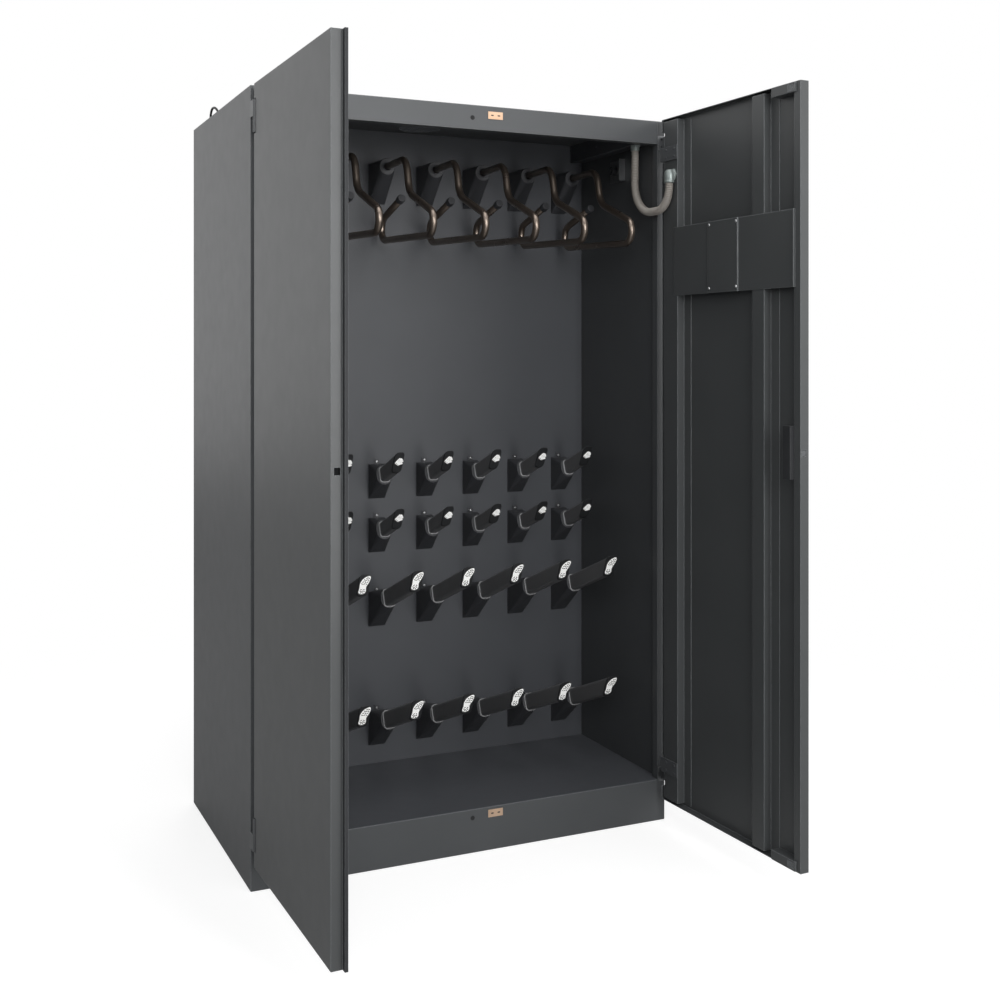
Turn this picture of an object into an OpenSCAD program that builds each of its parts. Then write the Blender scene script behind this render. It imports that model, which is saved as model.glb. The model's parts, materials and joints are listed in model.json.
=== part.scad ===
// Two-door drying cabinet for work clothes, gloves and boots.
// The frame has +Z up, +X to the right and +Y to the back. The origin is the centre of the
// cabinet's footprint on the floor. The doors are drawn open, as they stand in use.

/* [Cabinet] */
// Outer width of the cabinet
cab_w = 1200; // [1150:10:1400]
// Outer depth of the cabinet without its doors
cab_d = 700; // [660:10:800]
// Outer height of the cabinet
cab_h = 2000; // [1980:10:2200]
// Thickness of the sheet steel
sheet = 1.5; // [1:0.1:2]
// Height of the base frame's front face
plinth_h = 115; // [105:1:130]
// Height of the header rail over the doorway
header_h = 65; // [60:1:90]
// Depth of the space for the air unit, behind the air wall
plenum_d = 220; // [210:5:260]
// Width of the front face of each side post
post_w = 23; // [18:1:24]
// Depth of the folds behind the posts and the header
fold_d = 25; // [20:1:40]
// Gap between the two skins of a side panel
skin_gap = 10; // [8:1:12]
// Width of the folds that stiffen the base frame
base_fold = 30; // [20:1:50]

/* [Doors] */
// Thickness of a door leaf
door_t = 25; // [22:1:28]
// Gap between the front face and a closed door
door_gap = 9; // [9:1:12]
// Height of the doors' lower edge over the floor
door_low = 72; // [65:1:80]
// Gap between the two doors when they are closed
centre_gap = 3; // [2:0.5:5]
// Opening angle at which the left door is drawn
left_open = 89; // [80:1:100]
// Opening angle at which the right door is drawn
right_open = 92; // [80:1:100]
// Overlap of the left door's closing lip behind the right door
lip_reach = 14; // [8:1:20]
// Width of the hinge-side channel of a door
channel_w = 69; // [60:1:80]
// Width of the middle stiffener of a door
stiffener_w = 47; // [30:1:60]
// Distance from the hinge axis to the middle stiffener
stiffener_u = 408; // [300:1:450]

/* [Hinges] */
// Outer radius of a hinge knuckle
knuckle_r = 6; // [5.5:0.5:7]
// Radius of a hinge pin
pin_r = 3.5; // [3:0.25:4]
// Running clearance between pin and knuckle
pin_clear = 0.05; // [0.03:0.01:0.1]
// Height of one hinge leaf
leaf_h = 40; // [30:1:50]
// Thickness of the hinge leaves
leaf_t = 3; // [2.5:0.5:4]
// Height of the hinge joint over the door's lower edge, and under its upper edge
hinge_inset = 80; // [70:1:160]

/* [Holders] */
// Distance from one column to the next
column_pitch = 152; // [140:1:156]
// Distance from the right inner wall to the last column
column_margin = 85; // [75:1:95]
// Width of a holder's socket
socket_w = 50; // [48:1:56]
// Distance of the hanger sockets' lower edge under the top
hanger_drop = 219; // [210:1:230]
// Lower edge of the upper glove sockets
glove_top_z = 905; // [890:1:930]
// Lower edge of the lower glove sockets
glove_low_z = 745; // [730:1:760]
// Lower edge of the upper boot sockets
boot_top_z = 525; // [500:1:550]
// Lower edge of the lower boot sockets
boot_low_z = 172; // [160:1:190]
// Upward tilt of the glove and boot tubes
holder_tilt = 20.5; // [15:0.5:25]
// Length of a boot tube from its socket to the middle of its slanted end
boot_len = 243; // [200:1:260]
// Length of a glove tube from its socket to the middle of its slanted end
glove_len = 130; // [100:1:150]
// Height of the oval tubes
oval_h = 48; // [44:1:48]
// Width of the oval tubes
oval_w = 34; // [28:1:36]
// Slope of the boot tubes' end faces against the horizontal
boot_slope = 46; // [42:1:60]
// Slope of the glove tubes' end faces against the horizontal
glove_slope = 54; // [42:1:60]
// Radius of a hanger's tube
hanger_r = 10; // [8:0.5:12]

/* [Air] */
// Radius of the fan's impeller
impeller_r = 82; // [70:1:90]
// Number of blades on the impeller
blades = 24; // [16:1:32]
// Outer radius of the exhaust spigot
spigot_r = 62.5; // [50:0.5:80]
// Height of the exhaust spigot over the roof
spigot_h = 40; // [30:1:60]
// Number of intake slots in the rear panel
intake_slots = 12; // [8:1:14]

/* [Mains lead] */
// Diameter of the mains lead
lead_d = 7; // [6:0.5:7]
// Turns in each layer of the stored coil
coil_turns = 3; // [2:1:4]
// Radius of the coil's inner turn
coil_r = 30; // [28:1:34]

/* [Conduit] */
// Outer radius of the door conduit
conduit_r = 11.5; // [9:0.5:12]
// Depth of the conduit's ribs
rib_depth = 1.6; // [1:0.1:2]
// Number of ribs along the conduit
ribs = 84; // [60:1:100]

/* [Hidden] */
$fn = 48;
seam = 1;                                 // how far a bend's end lies in the next straight
seam_step = 0.03;
front_y = -cab_d / 2;
rear_y = cab_d / 2;
half_w = cab_w / 2;
drying_d = cab_d - plenum_d;              // depth of the drying space, from the front face to the air wall
roof_z = cab_h - sheet;
inner_x = half_w - skin_gap;              // centre of the inner skin
wall_x = inner_x - sheet / 2;             // face of the inner skin
floor_z = plinth_h + sheet;
wall_y = front_y + drying_d;              // front face of the air wall
plenum_y = wall_y + sheet;                // rear face of the air wall
header_z = cab_h - header_h;

// doors: u runs from the hinge axis along the door, y from the hinge axis towards the cabinet
axis_x = half_w - 4;
skin_out = -2;                            // outer face of a door, in front of its hinge axis
skin_in = skin_out + sheet;
leaf_face = skin_out + door_t;            // inner face of a door
axis_y = front_y - door_gap - leaf_face;
edge_u = -(half_w - 1 - axis_x);          // hinge edge of a door
free_u = axis_x - centre_gap / 2;
door_high = cab_h - 2;
door_len = door_high - door_low;
channel_u = 6;
channel_end = channel_u + channel_w;
channel_flange = 33;
return_w = 23;                            // inner return at a door's free edge
end_play = 0.3;                           // clearance over and under a knuckle
top_joint_z = door_high - hinge_inset;
low_joint_z = door_low + hinge_inset;
notch_u = knuckle_r + 6;

// holders
columns = 7;
column_x = [for (i = [0 : columns - 1])
    wall_x - column_margin - (columns - 1 - i) * column_pitch];
hanger_row_z = cab_h - hanger_drop;
socket_h = 102;
hanger_socket_h = 117;
hanger_port_r = 24.5;
hanger_port_d = 98;                       // reach of the hanger sockets from the air wall
boot_port_d = 108;                        // reach of the boot sockets
glove_port_d = 68;                        // reach of the glove sockets
boot_port_z = 101;                        // height of the boot ports over their sockets' lower edge
glove_port_z = 75;
hanger_port_z = 99;
port_w = oval_w + 12;
port_h = oval_h + 10;
tab_w = 16;
tab_t = 3;
tab_h = 14;
pocket_d = 14;                            // depth to which a tube sits in its socket
fit_gap = 0.4;                            // clearance round a tube in its socket
collar_t = 4;
collar_w = 3;
cap_wall = 2;                             // how far an end cap stands over its tube
boot_cap_l = 60;                          // from a cap's edge to the middle of its slanted face
glove_cap_l = 47;
mark_t = 0.8;
air_hole_h = 60;
air_hole_w = 34;
boot_rows = [boot_low_z, boot_top_z];
glove_rows = [glove_low_z, glove_top_z];

// hanger's centre line, as [distance behind the front face, height over the socket's lower edge]
hanger_front = 22;
hanger_rear = drying_d - 47;
hanger_path = [[drying_d - hanger_port_d + pocket_d, hanger_port_z],
    [drying_d - 252, hanger_port_z + 3], [drying_d - 277, 1], [hanger_front, -70], [hanger_front, -130],
    [hanger_rear, -113], [hanger_rear, -53], [drying_d - 200, -11]];
hanger_bends = [35, 30, 34, 34, 34, 34];
hanger_cap_r = hanger_r + 2;
hanger_cap_l = 14;

// fan, heater and intake, in the plenum behind the air wall
fan_z = 1150;
intake_w = 300;
filter_t = 20;
scroll_d = 110;
scroll_wall = 2;
filter_y = rear_y - sheet - filter_t;
scroll_y = filter_y - scroll_d;
shaft_r = 6;
motor_r = 48;
motor_l = 62;
inlet_r = impeller_r * 0.8;
scroll_start = impeller_r + 12;
scroll_growth = 60;                       // how much the scroll widens over one turn
throat = 30;                              // how far its outlet reaches inwards of its start
outlet_h = 150;
rotor_d = scroll_d - 30;
rotor_back = 12;                          // from the scroll's inlet side to the rotor
motor_hole_r = 20;
shaft_in = 20;                            // depth of the shaft in the motor

// exhaust
spigot_y = 40;

// duct along the top of the right wall, and the conduit to the door
duct_w = 40;
duct_z = cab_h - 55;
duct_y0 = front_y + 60;
conduit_x = wall_x - duct_w / 2 - 4;
conduit_y0 = front_y + 105;
gland_len = 15;
gland_r = 14;
gland_u = 54;
gland_off = 14;                           // distance of the door gland's axis from the door's inner face
gland_z = cab_h - 188;
gland_arm = 24;                           // height of the door gland's arm over its lower end
gland_bore = 8;
conduit_bend = 97;
conduit_turn = 64;
conduit_rise = 7;                         // straight length of the conduit under the door gland
conduit_low = gland_z - conduit_rise - conduit_turn;
conduit_play = 0.2;                       // clearance between the conduit's ends and its glands

// sensor on the right wall
sensor_r = 13;
sensor_z = cab_h - 108;
sensor_y = front_y + 258;
bracket_z = sensor_z - 35;
bracket_h = 65;
bracket_y = front_y + 205;
bracket_w = 85;
bracket_t = 2;
bracket_d = 20;

// holes for fixing the cabinet to a wall
mount_x = 500;
mount_drop = 60;
mount_hole_r = 5;

// lock and catches on the right door
lock_z = 1092;
lock_h = 130;
lock_w = 27;
lock_d = 12;
lock_u = free_u - return_w - lock_w / 2 - 2;
bolt_y = 6;                               // outer face of the bolt, in the door's frame
bolt_w = 12;
bolt_h = 14;
bolt_play = 0.3;
bolt_slot_play = 0.8;
lever_z = lock_z;
lever_u = lock_u - 1;
spindle_r = 5;
catch_u0 = 490;
magnet_w = 30;
catch_h = 24;
catch_proud = 5;
keeper_w = 43;
keeper_h = 20;
keeper_x = 67;
keeper_t = 1.5;
keeper_rise = 41;                         // height of the upper keeper over the header's lower edge
keeper_drop = 17;                         // depth of the lower keeper under the plinth's upper edge
buffer_r = 6;
buffer_t = 0.7;
buffer_rise = 31;
buffer_drop = 22;
panel_u0 = 221;
panel_u1 = 350;
cover_u0 = 59;
cover_u1 = free_u - 20;
cover_low = 1497;
cover_high = 1688;
cover_step = 3;

// route of the mains lead over the roof, as [distance from its exit, distance before the rear face,
// height over the roof]
lead_r = lead_d / 2;
lead_rise = 22;                           // height of the strain relief that it leaves
lead_x = 35 - half_w;
lead_route = [[0, 70, lead_rise], [0, 74, 36], [0, 84, 46], [0, 98, 50], [1, 112, 50],
    [2, 125, 47], [4, 138, 40], [7, 150, 29], [13, 162, 17], [23, 173, 9], [38, 182, 5],
    [57, 188, 4], [77, 191, 4], [99, 192, 4], [121, 192, 4], [145, 191, 4], [169, 189, 4]];
coil_x = lead_x + 235;
coil_y = rear_y - 240;
coil_steps = 24;
coil_gap = 0.5;
plug_r = 18;
plug_l = 42;
plug_turn = -26;
tail_route = [[12, 0, 0], [30, -3, 2], [46, -9, 5]];
tail_end = [62, -17, 0];

steel = "#3f4144";
dark = "#26272a";

// ---------- general shapes ----------

// one straight strip of folded sheet, seen on edge
module strip(a, b) {
    low = [min(a[0], b[0]), min(a[1], b[1])] - [sheet, sheet] / 2;
    size = [abs(a[0] - b[0]), abs(a[1] - b[1])] + [sheet, sheet];
    translate(low) square(size);
}

// folded sheet whose centre line runs through square corners
module folded(points) {
    for (i = [0 : len(points) - 2]) strip(points[i], points[i + 1]);
}

module block(low, high) {
    translate(low) cube(high - low);
}

// flat oval, w wide along x and h high along y
module oval(w, h) {
    for (s = [-1, 1]) translate([0, s * (h - w) / 2]) circle(w / 2);
    square([w, h - w], center = true);
}

function unit(v) = v / norm(v);

function turn_at(p, i) = let (a = unit(p[i] - p[i - 1]), b = unit(p[i + 1] - p[i]))
    atan2(a[0] * b[1] - a[1] * b[0], a * b);

// straight number i of a bent tube, going up from here, and the bends and straights that follow it.
// A bend is a hair thinner than the straights that its ends lie in, so they join in one clean solid
module tube_from(i, runs, turns, bends, r) {
    before = i > 0 ? seam : 0;
    after = i < len(turns) ? seam : 0;
    translate([0, 0, -before]) cylinder(r = r, h = before + runs[i] + after);
    if (i < len(turns)) {
        side = sign(turns[i]) * bends[i];
        translate([side, 0, runs[i]]) {
            rotate([90, 0, side > 0 ? 180 : 0])
                rotate_extrude(angle = abs(turns[i])) translate([bends[i], 0]) circle(r - seam_step);
            rotate([0, turns[i], 0]) translate([-side, 0, 0]) tube_from(i + 1, runs, turns, bends, r);
        }
    }
}

// tube of radius r in the XY plane through points, its corners rounded to the radii in bends
module bent_tube(points, bends, r) {
    last = len(points) - 1;
    turns = [for (i = [1 : last - 1]) turn_at(points, i)];
    cuts = concat([0], [for (i = [0 : last - 2]) bends[i] * tan(abs(turns[i]) / 2)], [0]);
    runs = [for (i = [0 : last - 1]) norm(points[i + 1] - points[i]) - cuts[i] - cuts[i + 1]];
    start = points[1] - points[0];
    translate([points[0][0], points[0][1], 0]) rotate([0, 0, atan2(start[1], start[0])])
        rotate([90, 0, 90]) tube_from(0, runs, turns, bends, r);
}

// direction of a route at each of its points
function tangents(p) = [for (i = [0 : len(p) - 1])
    unit(p[min(i + 1, len(p) - 1)] - p[max(i - 1, 0)])];

// side vectors carried along a route without twist
function sides(t, i, v) = i == len(t) ? [] :
    let (w = unit(v - (v * t[i]) * t[i])) concat([w], sides(t, i + 1, w));

// rings of n points round a route, with one radius for each point of the route
function rings(p, r, n, t, v) = [for (i = [0 : len(p) - 1])
    let (w = cross(t[i], v[i])) for (k = [0 : n - 1])
        p[i] + r[i] * (cos(k * 360 / n) * v[i] + sin(k * 360 / n) * w)];

// triangles of the wall between rings, facing outwards
function wall_faces(count, n, base, out) = [for (i = [0 : count - 2], k = [0 : n - 1])
    let (a = base + i * n + k, b = base + i * n + (k + 1) % n, c = a + n, d = b + n)
        for (f = out ? [[a, c, b], [b, c, d]] : [[a, b, c], [b, d, c]]) f];

// solid tube along a route
module swept_tube(p, r, n, side) {
    t = tangents(p);
    v = sides(t, 0, side);
    count = len(p);
    radii = [for (i = [0 : count - 1]) r];
    polyhedron(rings(p, radii, n, t, v), concat(wall_faces(count, n, 0, true),
        [for (k = [1 : n - 2]) [0, k, k + 1]],
        [for (k = [1 : n - 2]) [(count - 1) * n, (count - 1) * n + k + 1, (count - 1) * n + k]]));
}

// open-ended hose along a route, with an outer radius for each point and one bore
module hose(p, radii, bore, n, side) {
    t = tangents(p);
    v = sides(t, 0, side);
    count = len(p);
    inner = [for (i = [0 : count - 1]) bore];
    base = count * n;
    tail = (count - 1) * n;
    polyhedron(concat(rings(p, radii, n, t, v), rings(p, inner, n, t, v)),
        concat(wall_faces(count, n, 0, true), wall_faces(count, n, base, false),
        [for (k = [0 : n - 1]) let (m = (k + 1) % n) for (f = [[k, m, base + k], [m, base + m, base + k]]) f],
        [for (k = [0 : n - 1]) let (a = tail + k, b = tail + (k + 1) % n)
            for (f = [[a, base + a, b], [b, base + a, base + b]]) f]));
}

// smooth curve through hand-set points, with some steps between each two
function curve(p, steps) = [for (i = [0 : len(p) - 2], k = [0 : steps - 1])
    let (a = p[max(i - 1, 0)], b = p[i], c = p[i + 1], d = p[min(i + 2, len(p) - 1)], s = k / steps)
        0.5 * (2 * b + (c - a) * s + (2 * a - 5 * b + 4 * c - d) * s * s
            + (3 * b - a - 3 * c + d) * s * s * s)];

// ---------- placing ----------

module on_left_door() {
    translate([-axis_x, axis_y, 0]) rotate([0, 0, -left_open]) children();
}

module on_right_door() {
    translate([axis_x, axis_y, 0]) rotate([0, 0, right_open]) mirror([1, 0, 0]) children();
}

// point of the right door in the cabinet's frame
function right_door_point(u, y) = [
    axis_x - u * cos(right_open) - y * sin(right_open),
    axis_y - u * sin(right_open) + y * cos(right_open)];

// child drawn with x across and y up, z along a tilted tube that leaves the air wall
module along_holder(x, reach, z) {
    translate([x, wall_y - reach, z]) rotate([90 - holder_tilt, 0, 0]) children();
}

// ---------- cabinet shell ----------

module base_frame() color(steel) {
    x = half_w - sheet;
    y = rear_y - sheet;
    in = base_fold;
    difference() {
        block([-x, front_y, 0], [x, y, plinth_h]);
        block([-x + sheet, front_y + sheet, sheet], [x - sheet, y - sheet, plinth_h - sheet]);
        block([-x + in, front_y + in, -1], [x - in, y - in, plinth_h + 1]);
    }
}

module side_panel() color(steel) {
    skin = half_w - sheet / 2;
    post = half_w - post_w + sheet / 2;
    front = front_y + sheet / 2;
    back = rear_y - sheet / 2;
    translate([0, 0, plinth_h]) linear_extrude(roof_z - plinth_h)
        folded([[inner_x, wall_y + 40], [inner_x, front + fold_d], [post, front + fold_d],
            [post, front], [skin, front]]);
    translate([0, 0, 1]) linear_extrude(roof_z - 1) difference() {
        folded([[skin, front], [skin, back]]);
        translate([skin - 2 * sheet, back - sheet / 2]) square([4 * sheet, 2 * sheet]);
    }
}

module left_side_panel() mirror([1, 0, 0]) side_panel();

module right_side_panel() side_panel();

module roof_panel() color(steel) difference() {
    block([-half_w, front_y, roof_z], [half_w, rear_y, cab_h]);
    translate([0, spigot_y, roof_z - 1]) cylinder(r = spigot_r - 2, h = sheet + 2);
    translate([lead_x, rear_y - lead_route[0][1], roof_z - 1]) cylinder(r = lead_r + 3, h = sheet + 2);
}

module rear_panel() color(steel) difference() {
    block([-half_w, rear_y - sheet, 1], [half_w, rear_y, roof_z]);
    for (i = [0 : intake_slots - 1])
        translate([0, rear_y, fan_z + (i - (intake_slots - 1) / 2) * 20])
            cube([intake_w - 60, 4 * sheet, 8], center = true);
    for (s = [-1, 1]) translate([s * mount_x, rear_y + 1, cab_h - mount_drop])
        rotate([90, 0, 0]) cylinder(r = mount_hole_r, h = sheet + 2);
}

module header_rail() color(steel) {
    reach = half_w - post_w;
    y0 = front_y + sheet / 2;
    translate([-reach, 0, 0]) rotate([90, 0, 90]) linear_extrude(2 * reach)
        folded([[y0, roof_z - sheet / 2], [y0, header_z + sheet / 2],
            [y0 + fold_d, header_z + sheet / 2], [y0 + fold_d, header_z + 12]]);
}

module floor_tray() color(steel) difference() {
    block([-wall_x, front_y, plinth_h], [wall_x, rear_y - sheet, floor_z]);
    for (s = [-1, 1]) translate([s * half_w, front_y, plinth_h])
        cube([2 * post_w, 2 * (fold_d + sheet), 4 * sheet], center = true);
}

module air_hole(x, z) {
    block([x - air_hole_w / 2, wall_y - 1, z], [x + air_hole_w / 2, plenum_y + 1, z + air_hole_h]);
}

module air_wall() color(steel) difference() {
    translate([0, 0, floor_z]) linear_extrude(roof_z - floor_z)
        folded([[-wall_x + sheet / 2, wall_y + 22], [-wall_x + sheet / 2, wall_y + sheet / 2],
            [wall_x - sheet / 2, wall_y + sheet / 2], [wall_x - sheet / 2, wall_y + 22]]);
    for (x = column_x) {
        air_hole(x, hanger_row_z + 30);
        for (z = glove_rows) air_hole(x, z + 22);
        for (z = boot_rows) air_hole(x, z + 22);
    }
}

module cable_duct() color(steel) {
    x0 = wall_x - duct_w;
    translate([0, wall_y, 0]) rotate([90, 0, 0]) linear_extrude(wall_y - duct_y0) difference() {
        translate([x0, duct_z]) square([duct_w, roof_z - duct_z]);
        translate([x0 + sheet, duct_z + sheet]) square([duct_w - 2 * sheet, roof_z - duct_z - 2 * sheet]);
    }
}

module sensor_bracket() color(steel) {
    translate([wall_x, bracket_y, bracket_z]) linear_extrude(bracket_h) {
        translate([-bracket_t, 0]) square([bracket_t, bracket_w]);
        translate([-bracket_d, 0]) square([bracket_d, bracket_t]);
    }
}

module humidity_sensor() color(dark) {
    length = 16;
    hollow = 10;
    translate([wall_x - bracket_t, sensor_y, sensor_z]) rotate([0, -90, 0]) difference() {
        cylinder(r = sensor_r, h = length);
        translate([0, 0, length - hollow]) cylinder(r = sensor_r - 5, h = hollow + 1);
    }
}

module keeper_plates() color("#b9834e") {
    dimple = [6, 1.6, 2];
    for (z = [header_z + keeper_rise, plinth_h - keeper_drop])
        translate([keeper_x, front_y - keeper_t / 2, z]) difference() {
            cube([keeper_w, keeper_t, keeper_h], center = true);
            for (s = [-1, 1]) translate([s * 12, -keeper_t / 2, 0]) cube(dimple, center = true);
        }
}

module door_buffers() color(dark) {
    for (z = [header_z + buffer_rise, plinth_h - buffer_drop])
        translate([0, front_y, z]) rotate([90, 0, 0]) difference() {
            cylinder(r = buffer_r, h = buffer_t);
            translate([0, 0, buffer_t / 2]) cylinder(r = buffer_r / 2, h = buffer_t);
        }
}

// ---------- hinges ----------

// the frame's leaf, arm, knuckle and pin, for the left post. side is 1 where the door's knuckle is below
module frame_leaf(joint_z, side) {
    z0 = side > 0 ? joint_z + end_play / 2 : joint_z - end_play / 2 - leaf_h;
    arm_x = -axis_x - knuckle_r;
    pin_low = side > 0 ? joint_z - leaf_h + 4 : joint_z - end_play / 2 - 1;
    translate([0, 0, z0]) linear_extrude(leaf_h) {
        translate([-half_w, front_y - leaf_t]) square([post_w, leaf_t]);
        translate([arm_x, axis_y]) square([leaf_t, front_y - axis_y]);
        translate([-axis_x, axis_y]) circle(knuckle_r);
    }
    translate([-axis_x, axis_y, pin_low]) cylinder(r = pin_r, h = leaf_h - 2.5);
}

module frame_hinges() {
    frame_leaf(top_joint_z, 1);
    frame_leaf(low_joint_z, -1);
}

module left_frame_hinges() color("#8b8d90") frame_hinges();

module right_frame_hinges() color("#8b8d90") mirror([1, 0, 0]) frame_hinges();

// the door's knuckle and strap. side is 1 where the strap is below the joint
module door_leaf(joint_z, side) {
    z0 = side > 0 ? joint_z - end_play / 2 - leaf_h : joint_z + end_play / 2;
    translate([0, 0, z0]) linear_extrude(leaf_h) difference() {
        union() {
            circle(knuckle_r);
            translate([-knuckle_r, 0]) square([leaf_t, leaf_face + leaf_t]);
            translate([-knuckle_r, leaf_face]) square([channel_end + knuckle_r, leaf_t]);
        }
        circle(pin_r + pin_clear);
    }
}

module door_hinges() {
    door_leaf(top_joint_z, 1);
    door_leaf(low_joint_z, -1);
}

module left_door_hinges() color("#5c5e61") on_left_door() door_hinges();

module right_door_hinges() color("#5c5e61") on_right_door() door_hinges();

// ---------- doors ----------

module hinge_notches() {
    for (z = [top_joint_z, low_joint_z])
        block([edge_u - 5, skin_out - 5, z - leaf_h - 3], [notch_u, leaf_face + 1, z + leaf_h + 3]);
}

module door_panel() {
    in = leaf_face - sheet / 2;
    difference() {
        union() {
            translate([0, 0, door_low]) linear_extrude(door_len)
                folded([[edge_u + sheet / 2, in], [edge_u + sheet / 2, skin_out + sheet / 2],
                    [free_u - sheet / 2, skin_out + sheet / 2], [free_u - sheet / 2, in],
                    [free_u - return_w, in]]);
            for (z = [door_low, door_high - sheet])
                block([edge_u, skin_out, z], [free_u, leaf_face, z + sheet]);
        }
        hinge_notches();
    }
}

module door_stiffeners() {
    low = skin_in + sheet / 2;
    in = leaf_face - sheet / 2;
    u0 = channel_u + sheet / 2;
    u1 = channel_end - sheet / 2;
    s0 = stiffener_u + sheet / 2;
    s1 = stiffener_u + stiffener_w - sheet / 2;
    difference() {
        translate([0, 0, door_low + 8]) linear_extrude(door_len - 16) {
            folded([[u0, low + 8], [u0, in], [u1, in], [u1, low], [u1 + channel_flange, low]]);
            folded([[s0 - channel_flange, low], [s0, low], [s0, in], [s1, in], [s1, low],
                [s1 + channel_flange, low]]);
        }
        hinge_notches();
    }
}

// slot for the bolt in a door's free edge
module bolt_slot() {
    half = bolt_h / 2 + bolt_slot_play;
    block([free_u - sheet - 1, bolt_y - bolt_slot_play, lock_z - half],
        [free_u + 1, bolt_y + bolt_w + bolt_slot_play, lock_z + half]);
}

module left_door_panel() color(steel) on_left_door() difference() {
    door_panel();
    bolt_slot();
}

module left_door_stiffeners() color(steel) on_left_door() door_stiffeners();

// folded hem along the left door's free edge, which closes behind the right door
module left_door_lip() color(steel) on_left_door() {
    step = 0.5;
    thick = 8;
    translate([0, 0, door_low]) linear_extrude(door_len) difference() {
        polygon([[free_u - 18, leaf_face], [free_u, leaf_face], [free_u, leaf_face + step],
            [free_u + lip_reach, leaf_face + step], [free_u + lip_reach, leaf_face + thick],
            [free_u - 4, leaf_face + thick], [free_u - 4, leaf_face + step + sheet],
            [free_u - 18, leaf_face + step + sheet]]);
        translate([free_u - 4 + sheet, leaf_face + step + sheet])
            square([lip_reach + 4 - 2 * sheet, thick - step - 2 * sheet]);
    }
}

// the right door's skin, with the cut-outs for its touch panel, spindle, bolt and cable
module right_door_panel() color(steel) on_right_door() difference() {
    door_panel();
    block([panel_u0 + 12, skin_out - 1, cover_low + 22], [panel_u1 - 12, skin_in + 1, cover_high - 22]);
    translate([lever_u, skin_out - 1, lever_z]) rotate([-90, 0, 0])
        cylinder(r = spindle_r + 1, h = sheet + 2);
    bolt_slot();
}

module right_door_stiffeners() color(steel) on_right_door() difference() {
    door_stiffeners();
    translate([gland_u, leaf_face - sheet - 1, gland_z + gland_arm]) rotate([-90, 0, 0])
        cylinder(r = gland_bore, h = sheet + 2);
}

// ---------- on the right door ----------

// cover over the wires behind the touch panel: two wings and a raised box
module panel_cover() color(dark) on_right_door() {
    h = cover_high - cover_low;
    face = leaf_face + sheet / 2;
    translate([0, 0, cover_low]) linear_extrude(h)
        folded([[cover_u0, face], [panel_u0, face], [panel_u0, face + cover_step],
            [panel_u1, face + cover_step], [panel_u1, face], [cover_u1, face], [cover_u1, face + 5]]);
    for (u = [panel_u0 + 6, panel_u1 - 6], z = [cover_low + 12, cover_high - 9])
        translate([u, face + cover_step + sheet / 2, z]) rotate([-90, 0, 0]) cylinder(r = 3.5, h = 2);
}

module touch_panel() color("#101113") on_right_door() {
    block([panel_u0, skin_out - 3, cover_low + 10], [panel_u1, skin_out, cover_high - 10]);
    block([panel_u0 + 14, skin_out, cover_low + 24], [panel_u1 - 14, skin_out + 18, cover_high - 24]);
}

// lock body on the inner face, with the tunnel that guides its bolt
module lock_case() color("#77797c") on_right_door() {
    z0 = lock_z - lock_h / 2;
    slots = 9;
    difference() {
        union() {
            block([lock_u - lock_w / 2, skin_in, z0], [lock_u + lock_w / 2, leaf_face + lock_d, z0 + lock_h]);
            block([lock_u + lock_w / 2, 2, lock_z - 15], [free_u - sheet, leaf_face - sheet, lock_z + 15]);
        }
        for (i = [0 : slots - 1])
            translate([lock_u - lock_w / 2, leaf_face + lock_d / 2, z0 + lock_h * (i + 0.5) / slots])
                cube([6, lock_d * 0.6, lock_h / slots * 0.6], center = true);
        block([lock_u - 4, bolt_y - bolt_play, lock_z - bolt_h / 2 - bolt_play],
            [free_u + 1, bolt_y + bolt_w + bolt_play, lock_z + bolt_h / 2 + bolt_play]);
        translate([lever_u, skin_in - 1, lever_z]) rotate([-90, 0, 0])
            cylinder(r = spindle_r + pin_clear, h = bolt_y - skin_in);
    }
}

// sliding bolt, drawn back into the lock
module latch_bolt() color("#b9bbbe") on_right_door() {
    block([lock_u + 4, bolt_y, lock_z - bolt_h / 2], [free_u - 1, bolt_y + bolt_w, lock_z + bolt_h / 2]);
}

// lever on the outer face, turned level with the bolt drawn back, with its rose and spindle
module lever_handle() color("#55575a") on_right_door() {
    reach = 28;
    length = 118;
    translate([lever_u, skin_out - 0.3, lever_z]) rotate([0, 90, 0]) {
        rotate([90, 0, 0]) cylinder(r = 16, h = 8);
        rotate([90, 0, 0]) cylinder(r = 9, h = reach);
        rotate([-90, 0, 0]) cylinder(r = spindle_r, h = 7);
        translate([0, -reach, 0]) {
            sphere(9);
            rotate([180, 0, 0]) cylinder(r1 = 8.5, r2 = 7.5, h = length);
            translate([0, 0, -length]) sphere(7.5);
        }
    }
}

// boxes at the free corners, each with a ribbed magnet at its end
module door_catches() on_right_door() {
    top = leaf_face + catch_proud;
    steel_end = free_u - return_w - magnet_w + 8;
    for (z = [door_low + sheet, door_high - sheet - catch_h]) {
        color(steel) difference() {
            block([catch_u0, skin_in, z], [steel_end, top, z + catch_h]);
            block([catch_u0 + sheet, skin_in + sheet, z + sheet],
                [steel_end - sheet, top - sheet, z + catch_h - sheet]);
        }
        color(dark) difference() {
            union() {
                block([steel_end, skin_in, z], [free_u - return_w - 1, top, z + catch_h]);
                block([steel_end, leaf_face, z], [steel_end + magnet_w, top, z + catch_h]);
            }
            for (i = [0 : 4]) translate([steel_end + 4 + i * 5, top, z + catch_h / 2])
                cube([2, 3, catch_h - 8], center = true);
        }
    }
}

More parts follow.
